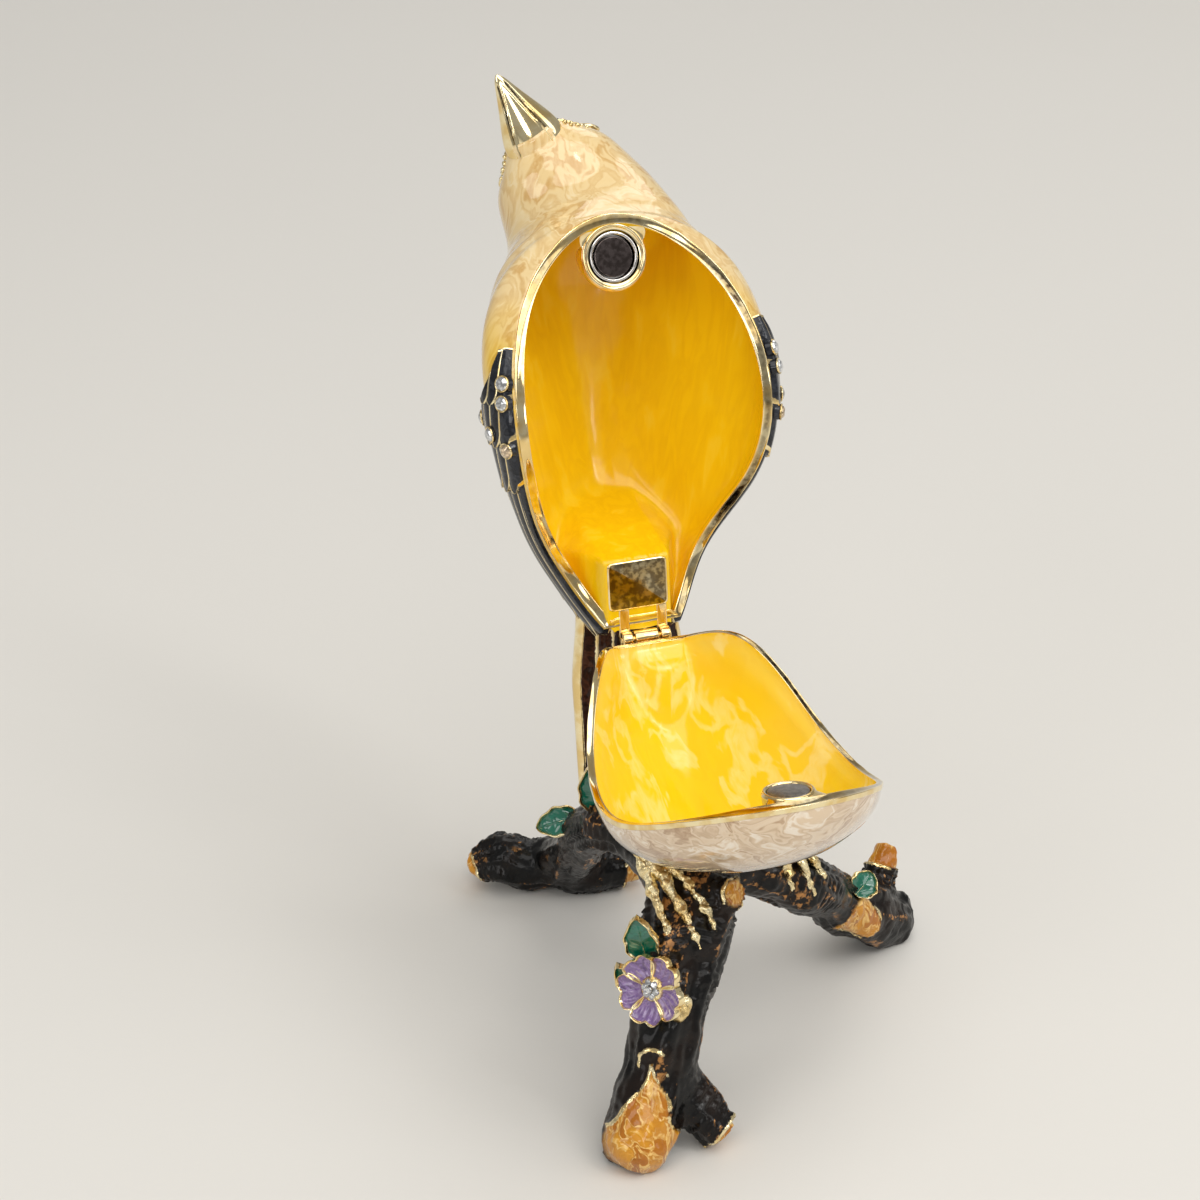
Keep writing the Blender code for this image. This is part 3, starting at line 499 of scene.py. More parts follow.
def gilding_group():
    """Gold plate: pale and deep patches, a hammered height and a wandering roughness; the mask's edge is
    made ragged by fine noise."""
    tree, given, made = new_group(
        "gilding",
        (("Vector", "Vector", None), ("Mask", "Float", 0.0), ("Ragged", "Float", 0.3),
         ("Grain", "Float", 1.0)),
        (("Mask", "Float", None), ("Color", "Color", None), ("Roughness", "Float", None),
         ("Height", "Float", None)))
    place, grain = given.outputs["Vector"], given.outputs["Grain"]
    fine = noise(tree, place, 2600.0, 4.0)
    broad = noise(tree, place, 420.0, 3.0)
    off = times(tree, sums(tree, "SUBTRACT", fine, 0.5), given.outputs["Ragged"])
    edge = sums(tree, "ADD", given.outputs["Mask"], off)
    tree.links.new(ramp(tree, edge, 0.38, 0.62), made.inputs["Mask"])
    tone = blend(tree, ramp(tree, broad, 0.35, 0.65), (0.84, 0.62, 0.27), (0.98, 0.85, 0.53))
    tree.links.new(tone, made.inputs["Color"])
    tree.links.new(scaled(tree, fine, times(tree, grain, 0.22), 0.06), made.inputs["Roughness"])
    tree.links.new(times(tree, fine, grain), made.inputs["Height"])
    return tree


PEARL = pearl_group()
GILDING = gilding_group()
# Height of the faint relief on glazed enamel and polished metal, in metres
POLISHED = 0.00001


def start_finish(name, **values):
    """A material with its shader's plain values set on the shader itself."""
    material = bpy.data.materials.new(name)
    material.use_nodes = True
    shader = material.node_tree.nodes["Principled BSDF"]
    for key, value in values.items():
        shader.inputs[key.replace("_", " ")].default_value = value
    return material, material.node_tree, shader


def pattern_place(tree, scale, turn=(0.0, 0.0, 0.0)):
    """Object coordinates, turned and scaled for a pattern."""
    place = add(tree, "TexCoord").outputs["Object"]
    return add(tree, "Mapping", None, {"Vector": place, "Rotation": turn, "Scale": scale}).outputs[0]


def use_group(tree, group, **inputs):
    """A node group placed in a material."""
    node = tree.nodes.new("ShaderNodeGroup")
    node.node_tree = group
    for key, value in inputs.items():
        feed(tree, node.inputs[key], value)
    return node.outputs


def bump(tree, shader, height, distance):
    """Relief from a height, in metres."""
    node = add(tree, "Bump", None, {"Height": height, "Distance": distance, "Strength": 1.0})
    tree.links.new(node.outputs[0], shader.inputs["Normal"])


def gilt_part(tree, **inputs):
    """The gold plate's group, placed at its own scale."""
    return use_group(tree, GILDING, Vector=pattern_place(tree, (1.0,) * 3), **inputs)


def even_cloud(tree, scale):
    """A fine cloud of noise at the same scale along x, y and z."""
    return noise(tree, pattern_place(tree, (scale,) * 3), 1.0, 4.0)


def enamel(name, colours, scale, turn=(0.0, 0.0, 0.0), fold=1.0, streaks=5.0, veins=0.7, lights=0.5,
           zone=None, zone_colours=None, glaze=0.08, ragged=0.3, coat=1.0, specular=0.5):
    """Fired enamel under a clear glaze: a middle pearl tone with deep veins and pale lights stirred into it,
    gold plate wherever the piece's gold mark is set and black where its groove mark is.  The colours are
    deep, middle and pale; a zone is a mark where a second set of them takes over."""
    material, tree, shader = start_finish(name, Roughness=glaze, Coat_Roughness=0.02, IOR=1.5,
                                          Specular_IOR_Level=specular)
    pearl = use_group(tree, PEARL, Vector=pattern_place(tree, scale, turn), Fold=fold, Streaks=streaks)
    soft = ramp(tree, pearl["Fine"], 0.25, 0.7)
    deep_swirl = times(tree, ramp(tree, pearl["Swirl"], 0.9, 0.3), veins)
    deep_share = times(tree, ramp(tree, pearl["Streak"], 0.0, 1.0), deep_swirl)
    pale_swirl = times(tree, ramp(tree, pearl["Swirl"], 0.2, 0.8), lights)
    pale_share = times(tree, ramp(tree, pearl["Streak"], 0.7, 0.0), pale_swirl)

    def stirred(deep, middle, pale):
        veined = blend(tree, times(tree, deep_share, scaled(tree, soft, 0.5, 0.5)), middle, deep)
        return blend(tree, times(tree, pale_share, scaled(tree, soft, 0.6, 0.4)), veined, pale)

    colour = stirred(*colours)
    if zone_colours:
        colour = blend(tree, mark(tree, zone), colour, stirred(*zone_colours))
    colour = blend(tree, mark(tree, "groove"), colour, (0.010, 0.009, 0.009))
    gilt = gilt_part(tree, Mask=mark(tree, "gold"), Ragged=ragged)
    tree.links.new(blend(tree, gilt["Mask"], colour, gilt["Color"]), shader.inputs["Base Color"])
    tree.links.new(gilt["Mask"], shader.inputs["Metallic"])
    tree.links.new(scaled(tree, gilt["Mask"], -coat, coat, clamp=True), shader.inputs["Coat Weight"])
    smooth = mix_numbers(tree, gilt["Mask"], glaze, gilt["Roughness"])
    tree.links.new(smooth, shader.inputs["Roughness"])
    bump(tree, shader, mix_numbers(tree, gilt["Mask"], pearl["Streak"], gilt["Height"]), POLISHED)
    return material


def gold_finish(name, grain, relief, dark=0.0, tint=None):
    """Gold plate over casting: bright where smooth and antiqued in its pits; where the groove mark is set,
    shade and dark reflections are painted into its colour.
    """
    material, tree, shader = start_finish(name, Metallic=1.0)
    gilt = gilt_part(tree, Mask=1.0, Grain=grain)
    colour = gilt["Color"]
    if tint:
        colour = blend(tree, 0.75, colour, tint)
    pits = even_cloud(tree, 1400.0)
    shade = times(tree, ramp(tree, pits, 0.52, 0.34), dark)
    cloud = scaled(tree, ramp(tree, pits, 0.62, 0.4), 0.35, 0.75)
    # The groove mark paints shade and dark reflections into the colour, mottled by the cloud.
    shade = sums(tree, "MAXIMUM", shade, times(tree, mark(tree, "groove"), cloud), clamp=True)
    tree.links.new(blend(tree, shade, colour, (0.05, 0.028, 0.014)), shader.inputs["Base Color"])
    tree.links.new(gilt["Roughness"], shader.inputs["Roughness"])
    bump(tree, shader, sums(tree, "ADD", gilt["Height"], times(tree, pits, dark)), relief)
    return material


def metal_finish(name, colour, other, roughness):
    """Polished metal with faint clouds of another tone."""
    material, tree, shader = start_finish(name, Metallic=1.0)
    cloud = even_cloud(tree, 1500.0)
    tone = ramp(tree, cloud, 0.35, 0.65)
    tree.links.new(blend(tree, tone, colour, other), shader.inputs["Base Color"])
    tree.links.new(scaled(tree, cloud, 0.12, roughness), shader.inputs["Roughness"])
    bump(tree, shader, cloud, POLISHED)
    return material


def bark_finish():
    """Glossy black bark enamel: sparse worn copper on the highest ridges, amber stirred grain on the cuts,
    and a gilt lip round each cut."""
    material, tree, shader = start_finish("bark_enamel", Coat_Roughness=0.08, Specular_IOR_Level=0.15)
    here = pattern_place(tree, (1000.0,) * 3)
    cloud = noise(tree, here, 0.16, 3.0)
    fine = noise(tree, here, 1.1, 5.0, Roughness=0.65)
    bark = blend(tree, ramp(tree, cloud, 0.4, 0.7), (0.003, 0.003, 0.003), (0.014, 0.007, 0.004))
    wear = times(tree, ramp(tree, mark(tree, "ridge"), 0.45, 0.8), ramp(tree, fine, 0.46, 0.58))
    rubbed = times(tree, wear, ramp(tree, cloud, 0.44, 0.54))
    bark = blend(tree, rubbed, bark, (0.50, 0.24, 0.08))
    pearl = use_group(tree, PEARL, Vector=pattern_place(tree, (330.0, 330.0, 210.0)), Fold=1.6, Streaks=5.0)
    lines = times(tree, ramp(tree, pearl["Streak"], 0.6, 1.0), ramp(tree, pearl["Fine"], 0.3, 0.6))
    amber = blend(tree, pearl["Swirl"], (0.40, 0.13, 0.005), (0.70, 0.32, 0.02))
    amber = blend(tree, times(tree, lines, 0.75), amber, (0.93, 0.64, 0.22))
    cut = mark(tree, "cut")
    colour = blend(tree, cut, bark, amber)
    gilt = gilt_part(tree, Mask=mark(tree, "gold"), Ragged=0.9, Grain=1.2)
    tree.links.new(blend(tree, gilt["Mask"], colour, gilt["Color"]), shader.inputs["Base Color"])
    uncut = sums(tree, "SUBTRACT", 1.0, cut, clamp=True)
    copper = times(tree, times(tree, rubbed, 0.85), uncut)
    tree.links.new(sums(tree, "MAXIMUM", gilt["Mask"], copper), shader.inputs["Metallic"])
    dull = scaled(tree, fine, 0.25, 0.18)
    smooth = mix_numbers(tree, gilt["Mask"], dull, gilt["Roughness"])
    tree.links.new(smooth, shader.inputs["Roughness"])
    bare = sums(tree, "SUBTRACT", 1.0, gilt["Mask"], clamp=True)
    tree.links.new(times(tree, scaled(tree, cut, 0.6, 0.22), bare), shader.inputs["Coat Weight"])
    bump(tree, shader, sums(tree, "ADD", fine, times(tree, pearl["Streak"], cut)), 0.00005)
    return material


def stone_finish(name, tint):
    """Foil-backed cut crystal: facets of a bright silvered stone, each a slightly different tone."""
    material, tree, shader = start_finish(name, Metallic=0.75, Roughness=0.04, Coat_Weight=1.0, IOR=1.6)
    cells = add(tree, "TexVoronoi", None, {"Vector": pattern_place(tree, (2400.0,) * 3), "Scale": 1.0})
    tone = ramp(tree, cells.outputs["Distance"], 0.1, 0.7)
    tree.links.new(blend(tree, tone, tint, tuple(0.45 * c for c in tint)), shader.inputs["Base Color"])
    bump(tree, shader, cells.outputs["Distance"], 0.00002)
    return material


# Tones of the enamels whose pieces have two zones: deep, middle and pale
BOWL_YELLOW = ((0.90, 0.54, 0.004), (0.935, 0.63, 0.005), (0.955, 0.765, 0.24))
EDGE_YELLOW = ((0.93, 0.62, 0.06), (0.95, 0.70, 0.15), (0.97, 0.81, 0.36))
BREAST = ((0.56, 0.31, 0.08), (0.79, 0.59, 0.29), (0.88, 0.74, 0.47))
MANTLE = ((0.72, 0.38, 0.02), (0.89, 0.58, 0.08), (0.96, 0.76, 0.28))
BELLY = ((0.35, 0.19, 0.085), (0.74, 0.57, 0.385), (0.94, 0.87, 0.76))
BELLY_LOWER = ((0.22, 0.12, 0.04), (0.46, 0.31, 0.15), (0.75, 0.60, 0.36))

LID_LINING = enamel("yellow_enamel_lid", ((0.78, 0.44, 0.003), (0.90, 0.575, 0.004), (0.94, 0.69, 0.05)),
                    (420.0, 420.0, 50.0), fold=0.4, streaks=2.5, veins=0.45, lights=0.4, glaze=0.2,
                    coat=0.15, specular=0.4)
BOWL_LINING = enamel("yellow_enamel_bowl", BOWL_YELLOW, (270.0, 75.0, 140.0), (0.0, 0.0, 0.35), fold=0.8,
                     streaks=4.5, veins=0.3, lights=0.8, zone="pale", zone_colours=EDGE_YELLOW, glaze=0.13,
                     coat=0.0)
BREAST_ENAMEL = enamel("champagne_pearl_enamel", BREAST, (300.0, 300.0, 60.0), (0.1, -0.2, 0.0), fold=0.7,
                       streaks=6.0, veins=0.8, lights=0.55, zone="mantle", zone_colours=MANTLE, coat=0.6)
BELLY_ENAMEL = enamel("taupe_pearl_enamel", BELLY, (200.0, 200.0, 300.0), fold=1.6, streaks=6.0, veins=0.8,
                      lights=0.75, zone="stain", zone_colours=BELLY_LOWER)
WING_ENAMEL = enamel("black_enamel", ((0.006, 0.007, 0.009), (0.018, 0.020, 0.026), (0.055, 0.062, 0.075)),
                     (500.0,) * 3, ragged=0.5, coat=0.3, specular=0.2)
TAIL_ENAMEL = enamel("tail_enamel", ((0.008, 0.005, 0.004), (0.045, 0.016, 0.009), (0.13, 0.045, 0.022)),
                     (500.0,) * 3, ragged=0.9, coat=0.2, specular=0.15)
LEAF_ENAMEL = enamel("emerald_enamel", ((0.001, 0.03, 0.02), (0.003, 0.14, 0.085), (0.06, 0.55, 0.38)),
                     (420.0,) * 3, fold=0.9, streaks=2.0, lights=1.0, ragged=0.7)
PETAL_ENAMEL = enamel("violet_pearl_enamel", ((0.06, 0.025, 0.11), (0.24, 0.14, 0.36), (0.72, 0.60, 0.80)),
                      (600.0,) * 3, fold=0.8, streaks=4.0, veins=0.8, lights=0.9, ragged=0.6)
GOLD = gold_finish("polished_gold", 0.25, 0.000006)
GOLD_CAST = gold_finish("cast_gold", 1.0, 0.00005, dark=0.55)
GOLD_ROUGH = gold_finish("rough_gold", 1.2, 0.00012, dark=0.45)
BRASS = gold_finish("hinge_brass", 0.4, 0.000008, tint=(0.86, 0.62, 0.27))
NICKEL = metal_finish("polished_nickel", (0.55, 0.53, 0.51), (0.72, 0.70, 0.68), 0.10)
NICKEL_DULL = metal_finish("worn_nickel", (0.23, 0.21, 0.20), (0.34, 0.32, 0.31), 0.16)
MAGNET = metal_finish("magnet_nickel", (0.075, 0.060, 0.055), (0.14, 0.115, 0.11), 0.12)
BARK = bark_finish()
CRYSTAL = stone_finish("crystal", (0.93, 0.95, 0.97))
CHAMPAGNE = stone_finish("champagne_crystal", (0.95, 0.74, 0.50))


# ---------------------------------------------------------------- lid

# How far the crown leans from the lid's back line; the lid rim's width; the polished pad's centre in plan,
# its half sizes and the height of its face; and the height of the land that it is let into
HEAD_ROLL = math.radians(-12.0)
LID_RIM = 1.15
PAD_AT = (-0.55, -7.4)
PAD_HALF = (4.2, 3.4)
PAD_FACE = 0.40
LAND_FACE = 0.60
# The black cap: the fan angle where it starts, how far round the head it comes down in degrees from the
# crown at each fan angle, how far it stands proud, its beads' height and the fan angle from bead to bead
CAP_FROM = 56.0
CAP_REACH = (
    (CAP_FROM, 60.0, 68.0, 78.0, 86.0, 92.0, 97.0, 103.0),
    (0.0, 24.0, 42.0, 52.0, 60.0, 65.0, 68.0, 72.0))
CAP_RISE = 0.22
BEAD_RISE = 0.28
BEAD_PITCH = 2.6
# Under the beak the skin runs on towards its tip: how far, and how large the section is there
LIP_ALONG = np.array([0.17, 0.165, 0.13, 0.09, 0.045])
LIP_SIZE = np.array([0.78, 0.93, 0.97, 1.0, 1.01])
# The lining closes into the neck from this fan angle on, over a run of so many degrees
NECK_FROM = 40.0
NECK_RUN = 14.0


def head_place(theta):
    """Angle round the head from its crown, which leans a little to one side of the lid's own back line."""
    return wrapped(theta + HEAD_ROLL)


def cap_reach(angle):
    """How far round the head the black cap comes down, as an angle from the crown, at each fan angle."""
    return np.radians(np.interp(angle, *CAP_REACH))


def land_height(x, y):
    """The hinge land over a place in plan, in the closed lid: level under the pad, with a gentle slope at
    its sides and a steeper one towards the head."""
    aside = np.maximum(np.abs(x - PAD_AT[0]) - PAD_HALF[0] - 0.25, 0.0)
    ahead = np.maximum(PAD_AT[1] - PAD_HALF[1] - 0.3 - y, 0.0)
    return LAND_FACE + 2.2 * aside + 0.30 * aside ** 2 + 3.4 * ahead + 0.20 * ahead ** 2


def beak_tip():
    """The beak's point, with the head turned."""
    return turn_head(np.array([0.0, -BEAK_TIP[0], BEAK_TIP[1]]), np.array(FAN_TOP))


def lid_skin(theta):
    """The lid's outside from the chin and head down to the rim, and its marks.  A cap with a beaded gold
    edge stands proud of the crown, and a lip of enamel runs a little way up under the beak."""
    angle = np.concatenate([np.linspace(FAN_TOP, CAP_FROM, 90), np.linspace(CAP_FROM - 0.5, FAN_LOW, 74)])
    angle, place = np.meshgrid(angle, theta, indexing="ij")
    skin = skin_at(angle, place)
    out = normals_of(skin)
    out *= np.sign(np.sum(out * (skin - skin.mean(axis=1, keepdims=True)), axis=-1, keepdims=True))
    fringe = 0.5 * np.sin(angle * 0.9) * ease((92.0 - angle) / 12.0)
    edge = (cap_reach(angle) - np.abs(head_place(place))) * 9.0 + fringe
    edge = np.where(angle < CAP_FROM + 1.0, -9.0, edge)
    cap = ease(edge / 0.25 + 0.5)
    bead = bell(edge, -0.12, 0.26)
    beads = bead * (0.6 + 0.4 * np.cos(angle * TURN / BEAD_PITCH))
    soft = rough(skin, 0.1, 3, 2) * 0.04
    rise = CAP_RISE * cap + BEAD_RISE * beads + soft * (1.0 - cap)
    outer = turn_head(skin + out * rise[..., None], angle)
    front = np.abs(wrapped(place))
    mantle = ease((2.15 - front + 0.3 * rough(skin, 0.16, 5, 2)) / 0.6) * ease((66.0 - angle) / 30.0)
    middle = outer[0, :-1].mean(axis=0)
    chin = ease((np.abs(head_place(theta)) - 1.9) / 0.5)
    along = LIP_ALONG[:, None] * chin
    size = 1.0 + (LIP_SIZE - 1.0)[:, None] * chin
    lip = middle + (beak_tip() - middle) * along[..., None] + (outer[0] - middle)[None] * size[..., None]
    crown = np.broadcast_to(outer[:1, :-1].mean(axis=1, keepdims=True), outer[:1].shape)
    added = 1 + len(LIP_ALONG)
    marks = {"mantle": mantle, "groove": cap, "gold": np.clip(bead * 1.3, 0.0, 1.0)}
    marks = {key: np.concatenate([value[:1]] * added + [value]) for key, value in marks.items()}
    return np.concatenate([crown, lip, outer]), marks


def lid_lining(theta):
    """The lid's inside from the rim up to its pole in the neck, drawn down softly to the hinge land."""
    neck = NECK_FROM + NECK_RUN * np.sin(np.linspace(0.04, 1.0, 22) * math.pi / 2.0)
    low = np.concatenate([np.linspace(FAN_LOW, 5.0, 26), np.linspace(5.3, 20.0, 74),
                          np.linspace(20.6, NECK_FROM, 34), neck])
    low, turn = np.meshgrid(low, theta, indexing="ij")
    wall = LID_RIM + (WALL + 0.2 - LID_RIM) * ease((low - FAN_LOW) / 3.0)
    lining = skin_at(low, turn, wall)
    closing = np.clip(1.0 - ((low - NECK_FROM) / NECK_RUN) ** 2, 0.0, 1.0) ** 0.75
    size = np.where(low > NECK_FROM, closing, 1.0)[..., None]
    centre = lining[:, :-1].mean(axis=1, keepdims=True)
    ripple = rough(lining * np.array([1.0, 1.0, 0.3]), 0.3, 9, 2) * 0.12 * ease((low - FAN_LOW) / 6.0)
    lining = centre + (lining - centre) * size + unit(centre - lining) * ripple[..., None] * size
    land = land_height(lining[..., 0], lining[..., 1])
    lowered = -soft_max(-lining[..., 2], -land, 0.8 + 6.0 * ease((land - 0.8) / 9.0))
    share = ease((lining[..., 1] + 24.0) / 6.0) * ease((low - FAN_LOW) / 2.0)
    lining[..., 2] += (lowered - lining[..., 2]) * share
    return lining


def lid_body():
    """The lid's enamelled shell: its skin, its lining and the rim's face between them."""
    theta = around(288)
    outer, marks = lid_skin(theta)
    lining = lid_lining(theta)
    sheets = [sheet(outer, 0, **marks), sheet(np.concatenate([outer[-1:], lining[:1]]), 1), sheet(lining, 1)]
    make_piece("lid_shell_enamel", "lid", sheets, [BREAST_ENAMEL, LID_LINING], ["lid_shell"],
               60.0)


# The rim band: how many stations it has round the box, how far it stands out past the enamel, how proud its
# edge lines are, and how deep the hollow between them is
RIM_STEPS = 480
RIM_OUT = 0.15
RIM_PROUD = 0.14
RIM_HOLLOW = 0.09


def rim_band(name, body, facing, drop, skirt, width):
    """The polished rim carried round the rim's line: two fine edge lines with a hollow between them, facing
    the other half of the box, a shallow inner lip and an outer skirt.  The hollow's bottom is painted with
    shade, heavier on one side of the box as a painted dark reflection."""
    theta = around(RIM_STEPS)
    rim = rim_at(theta) - np.array([0.0, 0.0, drop])
    inward = rim_inward(theta)
    turn = around(44)
    across = signed_power(np.cos(turn), 0.5)
    up = signed_power(np.sin(turn), 0.5)
    reach = -RIM_OUT + 0.5 * (width + RIM_OUT + 0.0 * theta)[:, None] * (1.0 + across)
    depth = RIM_PROUD + (skirt - RIM_PROUD) * (0.5 - 0.5 * across) ** 1.5
    hollow = np.cos(0.5 * math.pi * np.clip(across, -1.0, 1.0)) ** 0.7 * ease(up * 4.0 - 3.0)
    height = np.where(up > 0.0, RIM_PROUD * up - RIM_HOLLOW * hollow, depth * up)
    wander = 0.05 * rough(rim, 0.5, 11, 2)[:, None] * (across < -0.4)
    grid = rim[:, None] + inward[:, None] * (reach + wander)[..., None]
    grid = grid + np.array([0.0, 0.0, facing]) * height[None, :, None]
    # Painted shade for the hollow's bottom: noise varies it, and the sine round the box paints one side
    # darker as a painted reflection.
    shade = (0.45 + 0.5 * rough(rim, 0.12, 13, 2) + 0.3 * np.sin(theta))[:, None] * hollow
    make_piece(name, body, [sheet(grid, 0, groove=np.clip(shade, 0.0, 1.0))], [GOLD], (), 60.0)


def pad(half, centre, profile, power, count=96):
    """Rings of a rounded rectangle: each (spread, height) pair of the profile widens both half sizes by the
    spread; the first and last rings close on the middle."""
    turn = around(count)
    x = signed_power(np.cos(turn), power)
    y = signed_power(np.sin(turn), power)
    spread, height = (np.array(column, float)[:, None] for column in zip(*profile))
    rings = np.stack([x * (half[0] + spread), y * (half[1] + spread), 0.0 * x + height], axis=-1)
    return capped(rings + np.asarray(centre, float))


def eased_edge(radius, height, way):
    """Profile pairs of a rounded edge of this radius whose face is at a height; way is the face's side."""
    turn = np.linspace(0.0, math.pi / 2.0, 6)
    return [(-radius * (1.0 - math.sin(t)), height + way * radius * (1.0 - math.cos(t))) for t in turn]


def seat_frame(back):
    """The magnets' centre moved along their axis, and that axis, pointing into the lid."""
    axis = np.array([0.0, math.sin(MAGNET_TILT), math.cos(MAGNET_TILT)])
    return np.array([0.0, -MAGNET_AT[0], MAGNET_AT[1]]) + axis * back, axis


def disc_profile(low, high):
    """A magnet disc's closed profile with a rounded edge at its low face."""
    edge = [(MAGNET_RADIUS + spread, height) for spread, height in eased_edge(DISC_BEVEL, low, 1.0)]
    return [(0.0, low)] + edge + [(MAGNET_RADIUS, high), (0.0, high)]


# A magnet seat: how deep its hole is, and its rolled lip's half width and height
SEAT_DEPTH = 2.6
LIP_HALF = 0.26
LIP_RISE = 0.22
# Behind the seat its wall flares into the lining: how far past the lip, and how deep
SEAT_WALL = ((0.3, 0.7), (0.2, 1.8), (-0.1, 3.4), (-0.6, 5.4), (-1.2, 7.4))


def magnet_seat(name, body, way, back, hole, lip, width, lining):
    """The shelf round a magnet: a collar with a rolled lip that runs forward into the rim, and behind flares
    into the lining; way is the side it faces along the magnets' axis."""
    centre, axis = seat_frame(back)
    axis = axis * way
    front = np.cross(axis, (1.0, 0.0, 0.0))
    front = front * np.sign(-front[1])
    turn = around(180)
    side = np.sin(turn)[:, None] * np.array([1.0, 0.0, 0.0]) + np.cos(turn)[:, None] * front
    theta = around(2000)
    inner = rim_inset(theta, width(theta) - 0.25) - np.array([0.0, 0.0, GAP * (way > 0.0) + 0.06 * way])
    heading = np.arctan2(inner[:, 0], -(inner[:, 1] + MAGNET_AT[0]))
    order = np.argsort(heading)
    signed = wrapped(turn)
    rim = np.stack([np.interp(signed, heading[order], inner[order, k]) for k in range(3)], axis=-1)
    share = (1.0 - ease((np.abs(signed) - 0.75) / 0.5))[:, None]

    def ring(radius, height):
        return centre + side * radius + axis * height

    collar = ring(lip + LIP_HALF, 0.0)
    rings = [ring(0.0, -SEAT_DEPTH), ring(hole, -SEAT_DEPTH), ring(hole, -0.1), ring(lip - 0.3, -0.06)]
    for t in np.linspace(math.pi, 0.0, 7):
        rings.append(ring(lip + LIP_HALF * math.cos(t), LIP_RISE * math.sin(t)))
    target = ring(lip + 0.4, -0.2) * (1.0 - share) + rim * share
    for step in (0.1, 0.3, 0.6, 0.85, 1.0):
        sag = (target - collar) @ axis * (step ** 1.6 - step)
        rings.append(collar + (target - collar) * step + axis * sag[:, None])
    wall = [target]
    for step, (reach, drop) in enumerate(SEAT_WALL, 1):
        inside = target + (centre - axis * 4.0 - target) * (0.2 * step) - axis * 0.4
        wall.append(ring(lip + reach, -drop) * (1.0 - share) + inside * share)
    wall.append(np.broadcast_to(centre - axis * 7.0, collar.shape))
    sheets = [sheet(np.asarray(rings), 0), sheet(np.asarray(wall), 1)]
    make_piece(name, body, sheets, [GOLD, lining], (), 50.0)


def lid_fittings():
    """The seat that holds the lid's magnet, the cup and the disc."""
    centre, axis = seat_frame(0.0)
    magnet_seat("lid_magnet_boss", "lid", -1.0, 0.0, CUP_RADIUS + 0.2, CUP_RADIUS + 0.8,
                lambda theta: LID_RIM + 0.0 * theta, LID_LINING)
    bore = CUP_RADIUS - 0.46
    lip = [(bore, 0.3), (2.9, 0.18), (3.0, 0.12), (3.12, 0.12), (3.24, 0.18), (CUP_RADIUS, 0.3)]
    cup = [(0.0, 1.6), (bore, 1.6)] + lip + [(CUP_RADIUS, 2.15), (0.0, 2.15)]
    make_piece("magnet_cup", "lid", [sheet(lathe(cup, centre, axis, 96))], [NICKEL],
               ["lid_magnet_cup"], 35.0)
    disc = disc_profile(0.25, 1.35)
    make_piece("magnet_disc_lid", "lid", [sheet(lathe(disc, centre, axis, 96))], [MAGNET],
               ["lid_magnet"], 40.0)


# The beak's size from its root at 0 to its tip at 1, as a share of the section of the face
BEAK_ALONG = (-0.12, 0.0, 0.12, 0.3, 0.6, 0.9, 1.0)
BEAK_SIZE = (0.9, 0.97, 0.93, 0.78, 0.48, 0.2, 0.11)
BEAK_ROUND = 0.9
# How far round from the crown the mouth lies
GAPE = math.radians(142.0)


def beak():
    """The beak: sections scaled down a line from the face to the tip; the upper half overhangs the lower one
    at a mouth groove, and the culmen is a soft ridge.  The mouth groove and the nostril dimples are painted
    with shade."""
    theta = around(120)
    root = turn_head(skin_at(FAN_TOP + 0.0 * theta, theta), FAN_TOP + 0.0 * theta)
    middle = root[:-1].mean(axis=0)
    tip = beak_tip()
    ending = BEAK_ROUND + 0.1 * np.sin(np.linspace(0.08, 1.0, 14) * math.pi / 2)
    along = np.concatenate([np.linspace(BEAK_ALONG[0], BEAK_ROUND, 80), ending])
    rounding = np.sqrt(np.clip(1.0 - ((along - BEAK_ROUND) / 0.1) ** 2, 0.0, 1.0))
    size = spline(BEAK_ALONG, BEAK_SIZE, along) * np.where(along > BEAK_ROUND, rounding, 1.0)
    turned = np.abs(head_place(theta))[None, :]
    gap = (turned - GAPE) * 4.5 * np.maximum(size[:, None], 0.15)
    upper = ease(0.5 - gap / 0.2)
    fade = ease((0.93 - along[:, None]) / 0.08)
    shape = 1.0 + 0.07 * bell(turned, 0.0, 0.4) - 0.06 * bell(turned, 1.3, 0.5)
    lines = 0.05 * upper + 0.09 * bell(gap, 0.36, 0.17) - 0.12 * bell(gap, 0.0, 0.13)
    shape = shape + lines * fade
    nostril = np.exp(-(((along[:, None] - 0.2) / 0.09) ** 2 + ((turned - 0.95) / 0.12) ** 2))
    shape = shape - 0.07 * nostril
    # Painted shade in the mouth groove and the nostril dimples, carried by the groove mark.
    groove = np.clip(1.3 * bell(gap, 0.02, 0.13) * fade + 0.8 * nostril, 0.0, 1.0)
    swell = (size[:, None] * shape)[..., None]
    grid = middle + (tip - middle) * along[:, None, None] + (root - middle)[None] * swell
    groove = np.concatenate([groove[:1] * 0.0, groove, groove[-1:] * 0.0])
    make_piece("beak", "lid", [sheet(capped(grid), 0, groove=groove)], [GOLD], (), 60.0)


def skin_spot(angle, place):
    """A point on the lid's skin, head turned, and the way it faces, from its neighbours."""
    offsets = np.array([0.0, 0.02])
    a, p = np.meshgrid(angle + offsets * 20.0, place + offsets, indexing="ij")
    near = turn_head(skin_at(a, p), a)
    facing = unit(np.cross(near[0, 1] - near[0, 0], near[1, 0] - near[0, 0]))
    across = near[0, 0] - turn_head(skin_at(a, p + math.pi), a)[0, 0]
    return near[0, 0], facing * np.sign(np.dot(facing, across))


def rolled(radius, height, half, rise):
    """Profile pairs of a rolled ring: an oval of this half width and rise round a radius and height."""
    return [(radius + half * math.cos(t), height + rise * math.sin(t)) for t in around(12)]


SIDES = ((1.0, "left"), (-1.0, "right"))
# Each eye: its fan angle, its place in degrees round from the crown, and its bead's radius
EYE_ANGLE = 88.0
EYE_PLACE = 52.0
EYE_RADIUS = 1.15


